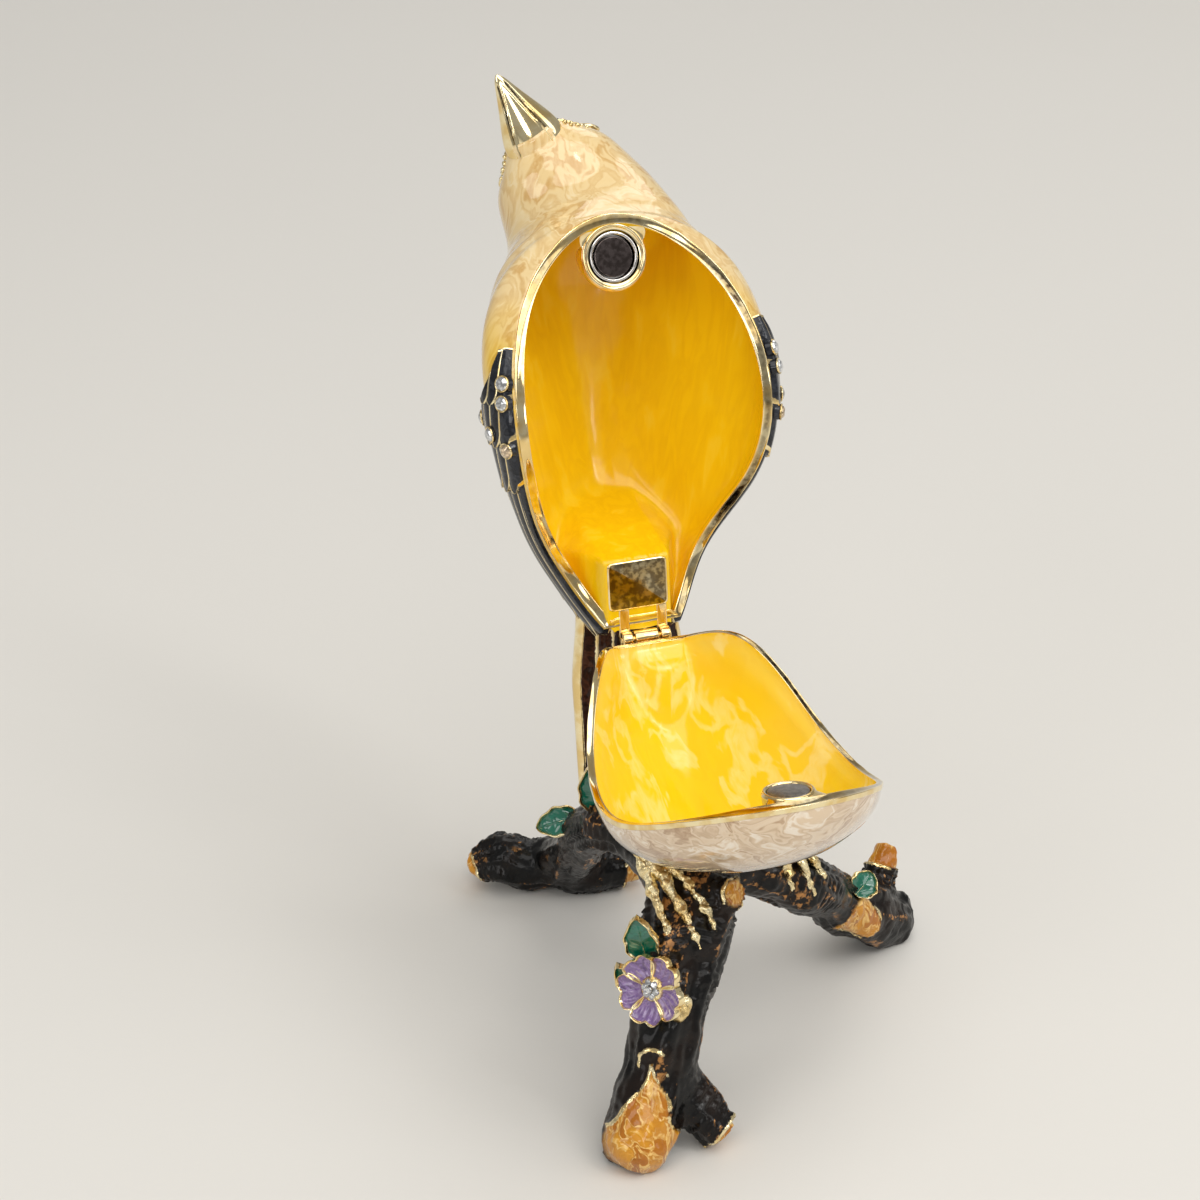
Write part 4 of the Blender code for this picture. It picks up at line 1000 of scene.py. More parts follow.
def eyes():
    """Each eye: a glossy black bead in a rolled gold ring."""
    arc = np.linspace(0.0, math.pi / 2.0, 12)
    dome = [(EYE_RADIUS * math.cos(t), 0.25 + 0.75 * math.sin(t)) for t in arc]
    bead = [(0.0, -0.8), (EYE_RADIUS, -0.8)] + dome
    ring = rolled(EYE_RADIUS + 0.27, 0.28, 0.28, 0.28)
    for side, word in SIDES:
        point, facing = skin_spot(EYE_ANGLE, side * math.radians(EYE_PLACE) - HEAD_ROLL)
        sheets = [sheet(lathe(bead, point, facing, 64), 0), sheet(lathe(ring, point, facing, 64), 1)]
        make_piece("eye_" + word, "lid", sheets, [WING_ENAMEL, GOLD_CAST], (), 60.0)


# Each bead beside the mouth: its fan angle, its place in degrees round from the crown, and its radius
FACE_BEADS = (
    (101.5, 82.0, 0.34), (99.0, 78.0, 0.30), (97.0, 83.0, 0.32), (95.0, 77.0, 0.26), (99.5, 88.0, 0.28),
    (93.0, 81.0, 0.24))


def face_beads():
    """A short cluster of gold beads at each corner of the mouth."""
    arc = np.linspace(0.0, math.pi, 13)
    sheets = []
    for side, _ in SIDES:
        for angle, place, size in FACE_BEADS:
            point, facing = skin_spot(angle, side * math.radians(place) - HEAD_ROLL)
            ball = [(size * math.sin(t), size * (0.35 - math.cos(t))) for t in arc]
            sheets.append(sheet(lathe(ball, point, facing, 20)))
    make_piece("face_beads", "lid", sheets, [GOLD_CAST], (), 60.0)


# Rows of feathers on a wing, lowest first, in millimetres: how many, and how far along they are rooted;
# then, for the first feather and added for each one after it, how far across its root lies, how far along
# its tip lies, and how far across; then their half width and how high the row lies
FEATHER_ROWS = (
    (5, 15.0, (1.0, 2.2), (40.0, -1.9), (0.9, 1.7), 1.5, 0.05),
    (3, 11.0, (8.0, 2.1), (29.0, -2.4), (9.6, 1.2), 1.6, 0.15),
    (6, 8.5, (1.0, 2.1), (19.0, -0.8), (1.2, 2.5), 1.55, 0.28),
    (5, 4.0, (0.8, 1.7), (13.2, -0.7), (1.2, 2.2), 1.4, 0.42),
    (3, 0.4, (0.6, 1.2), (7.8, -0.5), (1.0, 1.8), 1.25, 0.55))
# How long a wing is; how many degrees of fan angle it spans at stations along it, 0 at the shoulder and 1 at
# its end; how deep its ground lies in the skin; and the length past which a feather has a shaft
WING_LENGTH = 40.0
WING_ALONG = (0.0, 0.13, 0.26, 0.45, 0.7, 1.0)
WING_SPAN = (1.5, 5.0, 12.0, 15.5, 10.0, 4.5)
WING_SUNK = -0.5
LONG_FEATHER = 15.0


def feather_field(along, across, layout):
    """Overlapping feathers on a chart in millimetres, lowest first: each is a strip with a rounded tip that
    rises towards it, domed across, with a gold ridge just inside its edge and a fine shaft."""
    height, gold = np.full(along.shape, WING_SUNK), np.zeros(along.shape)
    for a0, b0, a1, b1, half, lift in layout:
        length = math.hypot(a1 - a0, b1 - b0)
        step_a, step_b = (a1 - a0) / length, (b1 - b0) / length
        t = ((along - a0) * step_a + (across - b0) * step_b) / length
        v = ((across - b0) * step_a - (along - a0) * step_b) / half
        round_part = min(0.6, 1.3 * half / length)
        tip = np.sqrt(np.clip(1.0 - (np.maximum(t - 1.0 + round_part, 0.0) / round_part) ** 2, 0.0, 1.0))
        edge = np.minimum((tip - np.abs(v)) * half, t * length)
        ridge = bell(edge, 0.2, 0.17)
        shaft = 0.7 * bell(v * half, 0.0, 0.07) * ease((0.85 - t) / 0.2) * (length > LONG_FEATHER)
        crest = lift + 0.30 * t + 0.26 * (1.0 - v * v) + 0.12 * ridge + 0.05 * shaft
        cover = ease(edge / 0.14)
        height = height * (1.0 - cover) + crest * cover
        gold = gold * (1.0 - cover) + np.maximum(ridge, shaft) * cover
    return height, gold


def wing_chart(side, a, b, rise):
    """A point on the flank: a runs from the shoulder to the wing's end just over the rim, b from its lower
    to its upper edge."""
    angle = -4.5 + 0.3 * a + b * spline(WING_ALONG, WING_SPAN, a)
    place = math.pi * (0.60 - 0.50 * a)
    return skin_at(angle, place if side > 0 else TURN - place, -rise)


def wings():
    """Folded wings: long flight feathers under rows of shorter coverts, black with gold edges."""
    layout = []
    for count, root, root_across, tip, tip_across, half, lift in FEATHER_ROWS:
        for i in range(count):
            root_at = (root, root_across[0] + root_across[1] * i)
            tip_at = (tip[0] + tip[1] * i, tip_across[0] + tip_across[1] * i)
            layout.append((*root_at, *tip_at, half, lift))
    a, b = np.meshgrid(np.linspace(0.0, 1.0, 330), np.linspace(0.0, 1.0, 130), indexing="ij")
    for side, word in SIDES:
        flat = wing_chart(side, a, b, 0.0)
        steps = np.linalg.norm(np.diff(flat, axis=1), axis=-1)
        across = np.concatenate([np.zeros((len(a), 1)), np.cumsum(steps, axis=1)], axis=1)
        height, gold = feather_field(a * WING_LENGTH, across, layout)
        to_side = np.minimum(across, across[:, -1:] - across)
        inner = ease(np.minimum(np.minimum(a, 1.0 - a) * WING_LENGTH, to_side) / 0.2)
        height = height * inner + WING_SUNK * (1.0 - inner)
        top = wing_chart(side, a, b, height)
        below = wing_chart(side, a, b, -0.9 + 0.0 * a)
        grid = sheet(pillow(top, below), 0, gold=pillow(gold, 0.0 * gold))
        make_piece("wing_" + word, "lid", [grid], [WING_ENAMEL], (), 60.0)


# The tail's root inside the body, its half width there, its top's height and its thickness at the hinge
TAIL_ROOT = -8.0
TAIL_HALF = 7.0
TAIL_TOP = 9.6
TAIL_THICK = 3.4


def tail():
    """The tail: a flat fan of six feathers with raised gold shafts and edges, top and bottom."""
    across = np.linspace(-1.0, 1.0, 150)
    reach = np.linspace(TAIL_ROOT, TAIL_LENGTH, 200)
    r, v = np.meshgrid(reach, across, indexing="ij")
    spread = TAIL_HALF + 1.2 * ease((r + 3.0) / 12.0)
    notch = 1.6 * (np.abs(v) - 0.55) * ease((r - 12.0) / 12.0)
    lane = np.abs(v) * 3.2
    ripple = bell(lane, np.round(lane), 0.11)
    grain = rough(np.stack([v * 9.0, r * 0.8, 0.0 * r], axis=-1), 1.0, 21, 3)
    rim_gold = ease((np.abs(v) - 0.87) / 0.04)
    ends = ease((r - TAIL_LENGTH + 1.4) / 0.5)
    gold = np.clip(np.maximum(np.maximum(rim_gold, ripple * 0.9), ends) + 0.25 * grain, 0.0, 1.0)
    relief = 0.30 * np.maximum(ripple, np.maximum(rim_gold, ends)) + 0.05 * grain
    rounded_sides = np.sqrt(np.clip(1.0 - np.abs(v) ** 8, 0.0, 1.0))
    rounded_end = np.sqrt(np.clip((TAIL_LENGTH - r) / 0.8, 0.0, 1.0))
    thick = (TAIL_THICK - 0.06 * r) * 0.5
    middle = TAIL_TOP - 0.05 * r + 0.9 * (1.0 - v * v) - thick
    swell = (thick + relief) * rounded_sides * rounded_end
    top = np.stack([v * spread, r + notch, middle + swell], axis=-1)
    below = np.stack([v * spread, r + notch, middle - swell], axis=-1)
    grid = sheet(pillow(top, below), 0, gold=pillow(gold, gold))
    make_piece("tail", "lid", [grid], [TAIL_ENAMEL], (), 60.0)


def cut_rings(radius, low):
    """Rings of a cut stone: table, star points, girdle and pavilion, their corners in turn out and in."""
    profile = ((0.0, 0.40), (0.52, 0.40), (0.80, 0.22), (0.98, 0.0), (0.98, -0.06), (0.55, low), (0.0, low))
    wave = ((0.0, 0.0), (0.04, 0.0), (-0.05, 0.0), (0.0, 0.03), (0.0, -0.03), (0.03, 0.0), (0.0, 0.0))
    return [((r * radius, h * radius), (u * radius, w * radius)) for (r, h), (u, w) in zip(profile, wave)]


def cut_stone(centre, facing, radius, low):
    """A faceted stone as rings of sixteen points about its axis; low is its point's height in radii."""
    side = unit(np.cross(facing, (0.2, 0.9, 0.3)))
    front = np.cross(facing, side)
    turn = around(16)
    swing = np.where(np.arange(17) % 2 == 0, 1.0, -1.0)
    rings = []
    for (r, h), (u, w) in cut_rings(radius, low):
        reach, rise = (r + u * swing)[:, None], (h + w * swing)[:, None]
        round_it = np.cos(turn)[:, None] * side + np.sin(turn)[:, None] * front
        rings.append(centre + reach * round_it + rise * facing)
    return np.asarray(rings)


# Each stone on a wing: its fan angle in degrees and its place round the lid as a share of half a turn
STONE_PLACES = ((-3.4, 0.536), (-3.2, 0.506), (5.0, 0.49), (-3.0, 0.435), (0.0, 0.469), (7.5, 0.455))
# A wing stone's radius, how high it stands over the skin, and the number of the one that is champagne
STONE_RADIUS = 0.92
STONE_RISE = 1.15
CHAMPAGNE_STONE = 4


def wing_stones():
    """Rhinestones in rolled gold bezels on the wings; one on each side is champagne."""
    bezel = rolled(0.98, -0.12, 0.13, 0.15)
    collar = [(0.0, -0.95), (1.2, -0.95), (1.02, -0.3), (0.9, -0.2), (0.0, -0.25)]
    for side, word in SIDES:
        for number, (angle, share) in enumerate(STONE_PLACES, 1):
            ending = word + "_" + str(number)
            centre, facing = skin_spot(angle, side * share * math.pi)
            centre = centre + facing * STONE_RISE
            tint = CHAMPAGNE if number == CHAMPAGNE_STONE else CRYSTAL
            sheets = [sheet(cut_stone(centre, facing, STONE_RADIUS, -0.35), 0),
                      sheet(lathe(bezel, centre, facing, 32), 1),
                      sheet(lathe(collar, centre, facing, 32), 2)]
            make_piece("stone_" + ending, "lid", sheets, [tint, GOLD_CAST, WING_ENAMEL],
                       ["gem_" + ending], 12.0)


# ---------------------------------------------------------------- bowl and hinge

def bowl_rim_width(theta):
    """The bowl rim's width: narrow along the sides and broader round the front."""
    front = np.abs(wrapped(theta)) / math.pi
    return 0.75 + 0.75 * ease((front - 0.66) / 0.22)


def evened(ring, reach):
    """A closed ring of points, each the mean of its neighbours to this reach, taken twice."""
    for _ in range(2):
        ring = np.mean([np.roll(ring[:, :-1], step, axis=1) for step in range(-reach, reach + 1)], axis=0)
        ring = np.concatenate([ring, ring[:, :1]], axis=1)
    return ring


def bowl_body():
    """The bowl's enamelled shell, outside and lining, with the smooth hump under the hinge: the lining's
    height is joined softly to a steep-sided rounded block."""
    theta = around(320)
    rim = rim_at(theta) - np.array([0.0, 0.0, GAP])
    width = bowl_rim_width(theta)
    edge = rim + rim_inward(theta) * width[..., None]
    steps = np.sin(np.linspace(0.0, 1.0, 90) * math.pi / 2.0)[:, None]
    outer = bowl_at(rim[None], BELLY_DEPTH, steps)
    out = unit(outer - np.array([0.0, -BELLY_CENTRE, 0.0]))
    outer = outer + out * (rough(outer, 0.22, 31, 2) * 0.10 * ease(steps / 0.15))[..., None]
    inside = edge[None] + rim_inward(theta) * ((WALL - width) * ease(steps / 0.12))[..., None]
    inside = inside + (evened(inside, 12) - inside) * ease(steps / 0.4)[..., None]
    lining = bowl_at(inside, BELLY_DEPTH - WALL, steps)
    block = np.hypot((lining[..., 0] - 1.0) / 4.6, (lining[..., 1] + 2.6) / 4.0)
    past = np.maximum(block - 0.7, 0.0)
    lifted = soft_max(lining[..., 2], -1.7 - 16.0 * past ** 2 / (0.3 + past), 3.0) - 0.6
    share = ease(steps / 0.06)
    lining[..., 2] = lining[..., 2] * (1.0 - share) + np.maximum(lining[..., 2], lifted) * share
    lining[..., 2] += rough(lining, 0.25, 33, 2) * 0.08 * share
    lining[-1] = lining[-1, :-1].mean(axis=0)
    outer[-1] = outer[-1, :-1].mean(axis=0)
    # The outside turns to a second, browner and darker set of tones towards the bottom.
    stain = ease((-outer[..., 2] - 10.5 + 2.2 * rough(outer, 0.3, 35, 3)) / 5.0) * 0.8
    pale = np.exp(-steps / 0.10) * 0.9 * (0.6 + 0.6 * rough(lining, 0.15, 37, 2)) + 0.0 * lining[..., 0]
    sheets = [sheet(outer, 0, stain=stain), sheet(np.concatenate([outer[:1], lining[:1]]), 1),
              sheet(lining, 1, pale=np.clip(pale, 0.0, 1.0))]
    make_piece("belly_bowl_enamel", "base", sheets, [BELLY_ENAMEL, BOWL_LINING],
               ["belly_bowl"], 60.0)


def bowl_fittings():
    """The bowl's magnet and the seat round it."""
    magnet_seat("bowl_magnet_seat", "base", 1.0, -GAP - 0.5, MAGNET_RADIUS + 0.12, MAGNET_RADIUS + 0.35,
                bowl_rim_width, BOWL_LINING)
    disc = [(radius, -height - 0.72) for radius, height in disc_profile(0.0, 2.0)]
    centre, axis = seat_frame(0.0)
    make_piece("magnet_disc_bowl", "base", [sheet(lathe(disc, centre, axis, 96))], [NICKEL_DULL],
               ["bowl_magnet"], 40.0)


# The hinge: the widths and radii of the bowl's knuckle and of the lid's two, the rod through them, and the
# radius of their rounded ends
KNUCKLE_BOWL = (3.3, 1.1)
KNUCKLE_LID = (1.4, 1.15)
ROD = (7.0, 0.42)
BARREL_EDGE = 0.18


def barrel(x, size):
    """A hinge knuckle of this width and radius along the axis, with rounded ends."""
    width, radius = size
    profile = [(0.0, -width / 2.0)]
    for t in np.linspace(0.0, math.pi / 2.0, 5):
        inset = BARREL_EDGE * (1.0 - math.sin(t))
        profile.append((radius - inset, -width / 2.0 + BARREL_EDGE * (1.0 - math.cos(t))))
    profile += [(r, -h) for r, h in profile[::-1]]
    return lathe(profile, (x, 0.0, 0.0), (1.0, 0.0, 0.0), 64)


def hinge_fittings():
    """The hinge: a polished pad let into the lid's land, its two lugs, the bowl's strap and the pin; the
    pad's flat face is painted dark as a painted reflection.
    """
    side = 0.5 * (KNUCKLE_BOWL[0] + KNUCKLE_LID[0]) + GAP
    plate = eased_edge(0.3, PAD_FACE, 1.0) + [(0.0, 1.15)]
    face = pad(PAD_HALF, (*PAD_AT, 0.0), plate, 0.16, 192)
    # The pad's flat face, its middle and first ring, is painted dark as a painted reflection in the polished
    # gold; its rounded edge stays bright.
    shade = 0.8 * (np.arange(len(face)) < 2)[:, None] * np.ones(face.shape[1])
    sheets = [sheet(face, 0, groove=shade)]
    neck = eased_edge(0.25, 0.44, 1.0) + [(0.0, 1.1)]
    for sign in (-1.0, 1.0):
        sheets.append(sheet(barrel(sign * side, KNUCKLE_LID), 1))
        sheets.append(sheet(pad((0.75, 2.1), (sign * side, -2.2, 0.0), neck, 0.2), 1))
    make_piece("hinge_pad", "lid", sheets, [GOLD, BRASS], ["hinge_leaf_lid"], 40.0)
    strap = eased_edge(0.2, -0.55, -1.0) + [(0.0, -1.25)]
    strap = pad((0.5 * KNUCKLE_BOWL[0], 1.4), (0.0, -1.6, 0.0), strap, 0.2)
    make_piece("hinge_strap", "base", [sheet(barrel(0.0, KNUCKLE_BOWL)), sheet(strap)], [BRASS],
               ["hinge_leaf_bowl"], 40.0)
    make_piece("hinge_rod", "base", [sheet(barrel(0.0, ROD))], [BRASS], ["hinge_pin"], 40.0)


# ---------------------------------------------------------------- branch

# Each limb's axis points and radii in millimetres: x and y from the hinge, z from the floor
LIMBS = {
    "front": (
        (-2.0, -10.0, 29.0, 5.5), (-1.0, -20.0, 31.0, 6.2), (-3.5, -28.5, 27.0, 6.3),
        (-7.0, -32.0, 20.5, 4.8), (-9.4, -34.5, 14.5, 4.7), (-12.2, -37.5, 7.2, 5.0),
        (-15.2, -40.3, 3.4, 4.5)),
    "toe": ((-10.0, -35.5, 9.5, 3.6), (-7.0, -38.0, 5.5, 3.1), (-3.5, -40.5, 1.9, 2.2)),
    "knot": ((-1.0, -24.0, 28.0, 3.2), (0.0, -28.0, 30.5, 2.4), (1.2, -31.0, 32.0, 2.0)),
    "right": (
        (-1.0, -11.0, 28.5, 5.5), (8.0, -15.0, 26.5, 5.2), (17.0, -14.0, 21.0, 4.4),
        (23.0, -10.0, 14.5, 3.7), (29.5, -5.5, 8.0, 4.2), (36.0, -1.0, 3.0, 4.6)),
    "right_stub": ((33.0, -2.0, 6.0, 3.4), (36.6, 1.0, 9.5, 2.2), (37.6, 2.2, 12.6, 1.8)),
    "right_cut": ((30.0, -3.0, 6.5, 2.6), (30.0, -6.0, 6.9, 2.1), (30.2, -9.4, 7.2, 1.8)),
    "rear": (
        (0.0, -12.0, 28.5, 5.0), (-6.0, -6.0, 30.0, 3.9), (-7.4, -0.5, 26.5, 3.3), (-7.0, 6.5, 20.5, 3.2),
        (-5.0, 14.5, 13.5, 3.6), (-3.5, 22.0, 7.5, 4.0), (-4.0, 27.0, 4.0, 3.6)),
    "rear_foot": (
        (8.2, 22.0, 2.8, 1.1), (4.6, 23.4, 3.2, 2.9), (-2.0, 26.0, 4.4, 4.6), (-8.0, 28.0, 3.4, 3.3),
        (-12.6, 30.0, 5.0, 3.7), (-16.0, 31.2, 3.0, 2.3)),
}
# Sawn ends: the limb, which end, how far the saw is back from the limb's round tip, and how far the bare
# wood runs back from the saw
CUT_ENDS = (
    ("toe", 1, 0.6, 1.3), ("knot", 1, 0.7, 0.35), ("right_stub", 1, 0.5, 3.6), ("right_cut", 1, 0.9, 0.35),
    ("rear_foot", 0, 0.4, 3.4), ("rear_foot", 1, 0.8, 1.3))
# How wide the soft crease is where two limbs join, and how far apart the branch's points are
JOIN = 1.4
SPACING = 0.33
# The slanting cut on the front foot, from the floor: its point, its heel, the way it faces, and its greatest
# half width
FOOT_TIP = (-12.9, -38.9, 13.9)
FOOT_HEEL = (-16.4, -45.0, 0.5)
FOOT_FACES = (-0.35, -0.80, 0.45)
FOOT_WIDE = 9.5


def floored(points):
    """Points given from the floor, dropped into the hinge frame."""
    return np.asarray(points, float) + np.array([0.0, 0.0, FLOOR])


def limb_line(knots, steps=8):
    """A limb's smooth axis with its radius as a fourth column, in the hinge frame."""
    line = curve_points(knots, steps)
    line[:, 2] += FLOOR
    return line


def limb_field(points, line):
    """Distance from points to a limb's tapering surface, how far along it the nearest place lies, and the
    way out from there: every segment is tried and the nearest kept."""
    a, b = line[:-1], line[1:]
    d = b - a
    offset = points[:, None, :] - a[None, :, :3]
    t = np.clip(np.einsum("psk,sk->ps", offset, d[:, :3]) / np.sum(d[:, :3] ** 2, axis=1), 0.0, 1.0)
    away = offset - t[..., None] * d[None, :, :3]
    distance = np.sqrt(np.sum(away ** 2, axis=-1)) - (a[:, 3] + t * d[:, 3])
    best = np.argmin(distance, axis=1)
    row = np.arange(len(points))
    lengths = np.concatenate([[0.0], np.cumsum(np.linalg.norm(d[:, :3], axis=1))])
    run = lengths[best] + t[row, best] * np.linalg.norm(d[best, :3], axis=1)
    return distance[row, best], run, away[row, best]


def cut_planes():
    """Each sawn end as a limb's name, a point, an outward direction and the reach of its bare wood."""
    planes = []
    for limb, end, back, bare in CUT_ENDS:
        line = limb_line(LIMBS[limb])
        tip, before = (line[-1], line[-4]) if end else (line[0], line[3])
        way = unit(tip[:3] - before[:3])
        planes.append((limb, tip[:3] + way * (tip[3] - back) * 0.35, way, bare))
    return planes


def branch_field(points):
    """The whole branch as one signed distance: the limbs joined with soft creases, each limb's sawn ends
    trimmed by their planes."""
    total = None
    planes = cut_planes()
    for name, knots in LIMBS.items():
        distance = limb_field(points, limb_line(knots))[0]
        for limb, at, way, _ in planes:
            if limb == name:
                near = np.linalg.norm(points - at, axis=1) < 9.0
                trimmed = soft_max(distance, (points - at) @ way, 0.5)
                distance = np.where(near, trimmed, distance)
        if total is None:
            total = distance
        else:
            h = np.clip(0.5 + 0.5 * (total - distance) / JOIN, 0.0, 1.0)
            total = total * (1.0 - h) + distance * h - JOIN * h * (1.0 - h)
    return total


def bark_relief(points):
    """Bark: for each limb, the zero lines of noise stretched along it stand up as long crests, over broad
    knobs; limbs are weighted by how near they lie.  Also how near a place is to a crest."""
    relief, weight = 0.0, 0.0
    for index, knots in enumerate(LIMBS.values()):
        distance, run, away = limb_field(points, limb_line(knots))
        ring = unit(away) * 4.2
        stretched = np.stack([ring[:, 0], ring[:, 1], ring[:, 2] + 0.09 * run], axis=1)
        twist = 0.5 * rough(points, 0.12, 50 + index, 2)
        lines = rough(stretched + twist[:, None] * 2.0, 0.5, 60, 2)
        share = np.exp(-np.clip(distance, 0.0, None) / 0.8)
        relief = relief + share * (0.28 - np.sqrt(lines ** 2 + 0.002))
        weight = weight + share
    relief = relief / np.maximum(weight, 1e-6)
    knobs = 0.8 * rough(points, 0.17, 80, 2)
    grit = 0.10 * rough(points, 0.9, 85, 2)
    return relief * 0.9 + knobs + grit, ease((relief - 0.12) / 0.1)


def belly_height(x, y):
    """Height of the belly's outside over a place in plan: how far out the place is, as a share of the rim in
    that heading, gives the step down the bowl's curve."""
    ring = rim_at(around(720))
    heading = np.arctan2(ring[:, 0], -(ring[:, 1] + BELLY_CENTRE))
    order = np.argsort(heading)
    here = np.arctan2(x, -(y + BELLY_CENTRE))
    far = np.interp(here, heading[order], np.hypot(ring[:, 0], ring[:, 1] + BELLY_CENTRE)[order])
    high = np.interp(here, heading[order], ring[order, 2]) - GAP
    share = np.clip(np.hypot(x, y + BELLY_CENTRE) / far, 0.0, 1.0)
    turn = np.arccos(share ** (1.0 / BELLY_ROUND))
    return np.where(share < 1.0, high * (1.0 - np.sin(turn)) - BELLY_DEPTH * np.sin(turn), 1e3)


def foot_cut(points):
    """The big slanting cut on the front foot: a teardrop in the plane that faces forward and up, pointed
    towards the knee; positive inside, in millimetres.  Also how far down it a place lies."""
    tip, heel = floored(FOOT_TIP), floored(FOOT_HEEL)
    length = np.linalg.norm(heel - tip)
    down = (heel - tip) / length
    side = unit(np.cross(down, FOOT_FACES))
    t = (points - tip) @ down / length
    off = (points - tip) @ side + 0.5 * np.sin(t * 9.0) * ease(t * 3.0)
    wide = FOOT_WIDE * np.clip(t - 0.03 * np.sin(t * 16.0), 0.0, 1.0) ** 1.25
    return np.where(t < 0.0, -np.hypot(t * length, off), wide - np.abs(off)), t


def limb_blanks():
    """A closed tube for every limb, a little fuller than it, its radius falling off past both ends; all of
    them in one mesh, in millimetres."""
    rings, faces, start = [], [], 0
    for knots in LIMBS.values():
        line = limb_line(knots, 6)
        before = line[0] + (line[0] - line[1]) * 0.5
        after = line[-1] + (line[-1] - line[-2]) * 0.5
        path = np.concatenate([before[None], line, after[None]])[:, :3]
        radius = np.concatenate([[line[0, 3] * 0.7], line[:, 3] + 0.15, [line[-1, 3] * 0.7]])
        grid = capped(tube(path, radius, 24))
        rows, columns = grid.shape[:2]
        faces.append(quads_of(rows, columns, start))
        rings.append(grid.reshape(-1, 3))
        start += rows * columns
    mesh = bpy.data.meshes.new("branch_blank")
    mesh.from_pydata(np.concatenate(rings).tolist(), [], np.concatenate(faces).tolist())
    close_mesh(mesh, 1e-4)
    return mesh


def evenly_meshed(mesh, spacing):
    """One skin round a mesh's overlapping parts, its points evenly apart."""
    holder = placed("branch_blank", mesh)
    remesh = holder.modifiers.new("even", "REMESH")
    remesh.mode = "VOXEL"
    remesh.voxel_size = spacing
    bpy.context.view_layer.update()
    skin = bpy.data.meshes.new_from_object(holder.evaluated_get(bpy.context.evaluated_depsgraph_get()))
    bpy.data.objects.remove(holder, do_unlink=True)
    return skin


def drawn_to_field(points):
    """Points moved onto the joined limbs' surface in four steps down the field's slope, and its normals."""
    step = 0.02
    for _ in range(4):
        value = branch_field(points)
        slope = np.stack([branch_field(points + step * axis) - value for axis in np.eye(3)], axis=1)
        points = points - unit(slope) * np.clip(value, -0.8, 0.8)[:, None]
    return points, unit(slope)


def bare_wood(points, normals):
    """How far each point lies in a sawn face, and how far on the gilt lip round one."""
    inside, run = foot_cut(points)
    facing = ease((normals @ unit(np.array([-0.3, -0.85, 0.35])) + 0.15) / 0.3)
    cut = ease(inside / 0.3 + 0.5) * facing
    ragged = ease((rough(points, 0.7, 95, 2) + 0.45) / 0.5)
    lip = bell(inside, -0.1, 0.28) * facing * (0.35 + 0.65 * ragged)
    lip = np.maximum(lip, bell(inside, -1.9, 0.3) * facing * ease((0.16 - run) / 0.1) * ragged)
    for _, at, way, reach in cut_planes():
        away = np.linalg.norm(points - at, axis=1)
        near = ease(11.0 - away) * (away < 6.0)
        face = (points - at) @ way
        cut = np.maximum(cut, ease((face + reach) / 0.25) * near)
        lip = np.maximum(lip, bell(face, -reach - 0.15, 0.25) * near * ragged)
    return cut, lip


def branch():
    """The branch: tubes gathered and remeshed, every point drawn onto the joined limbs' surface, then lifted
    by the bark and laid flat on the floor and under the belly."""
    mesh = evenly_meshed(limb_blanks(), SPACING)
    points = np.empty(len(mesh.vertices) * 3)
    mesh.vertices.foreach_get("co", points)
    points, normals = drawn_to_field(points.reshape(-1, 3))
    cut, lip = bare_wood(points, normals)
    relief, crest = bark_relief(points)
    grain = rough(points * np.array([1.0, 1.0, 0.4]), 0.7, 90, 3) * 0.3
    lift = relief * (1.0 - cut) + (grain - 0.3) * cut + 0.25 * lip * (1.0 - 0.5 * cut)
    points = points + normals * lift[:, None]
    points[:, 2] = np.maximum(points[:, 2], FLOOR)
    under = belly_height(points[:, 0], points[:, 1]) - 0.05
    points[:, 2] = np.minimum(points[:, 2], under)
    mesh.vertices.foreach_set("co", to_row(points, "base").astype(np.float32).reshape(-1))
    for key, value in (("cut", cut), ("gold", np.clip(lip, 0.0, 1.0) * 0.9), ("ridge", crest)):
        paint(mesh, key, value)
    mesh.update()
    put_piece("branch_bark", "base", mesh, [BARK], ["branch_stand"], 180.0)


# ---------------------------------------------------------------- claws, leaves and flower

# Each claw: the path of the leg and of each toe, x and y from the hinge and z from the floor
CLAWS = {
    "claw_right": (
        ((-9.7, -22.7, 41.0), (-9.4, -24.0, 37.0), (-8.8, -25.5, 34.4)),
        ((-9.3, -24.3, 36.6), (-9.0, -28.8, 32.4), (-7.8, -33.4, 26.9)),
        ((-9.1, -24.4, 36.4), (-6.2, -30.0, 33.2), (-4.9, -34.9, 27.2)),
        ((-9.0, -24.0, 36.2), (-3.4, -28.0, 34.2), (-2.7, -34.2, 29.2))),
    "claw_left": (
        ((7.9, -18.1, 43.1), (10.3, -17.3, 36.6), (12.8, -16.4, 30.4)),
        ((12.0, -16.6, 31.6), (13.4, -18.8, 26.6), (14.6, -18.6, 21.4)),
        ((12.2, -16.4, 31.4), (16.6, -17.8, 26.4), (17.8, -18.3, 19.6)),
        ((12.4, -16.0, 31.2), (18.4, -15.6, 25.6), (20.8, -16.2, 19.8))),
}
# Each leaf: root, tip, the way it faces, and its width
LEAVES = {
    "leaf_front_upper": ((-10.6, -31.2, 24.4), (-12.3, -31.0, 31.2), (-0.55, -0.82, 0.15), 4.6),
    "leaf_front_lower": ((-11.2, -31.0, 20.0), (-14.8, -30.6, 24.2), (-0.6, -0.8, 0.2), 3.8),
    "leaf_rear_upper": ((-8.0, -4.4, 30.6), (-9.0, -4.2, 38.4), (-0.5, -0.82, 0.2), 4.8),
    "leaf_rear_lower": ((-8.0, 4.0, 25.6), (-13.8, 6.0, 23.6), (-0.2, -0.75, 0.6), 4.3),
    "leaf_right": ((27.6, -9.6, 13.2), (30.6, -8.2, 15.6), (0.0, -0.85, 0.5), 4.2),
}
FLOWER_AT = (-11.0, -34.9, 22.7)
FLOWER_FACES = (-0.80, -0.53, 0.28)
PETAL_LENGTHS = (4.9, 4.5, 4.9, 4.7, 5.0)
PETAL_ROOT = 0.9
FLOWER_STONES = 7
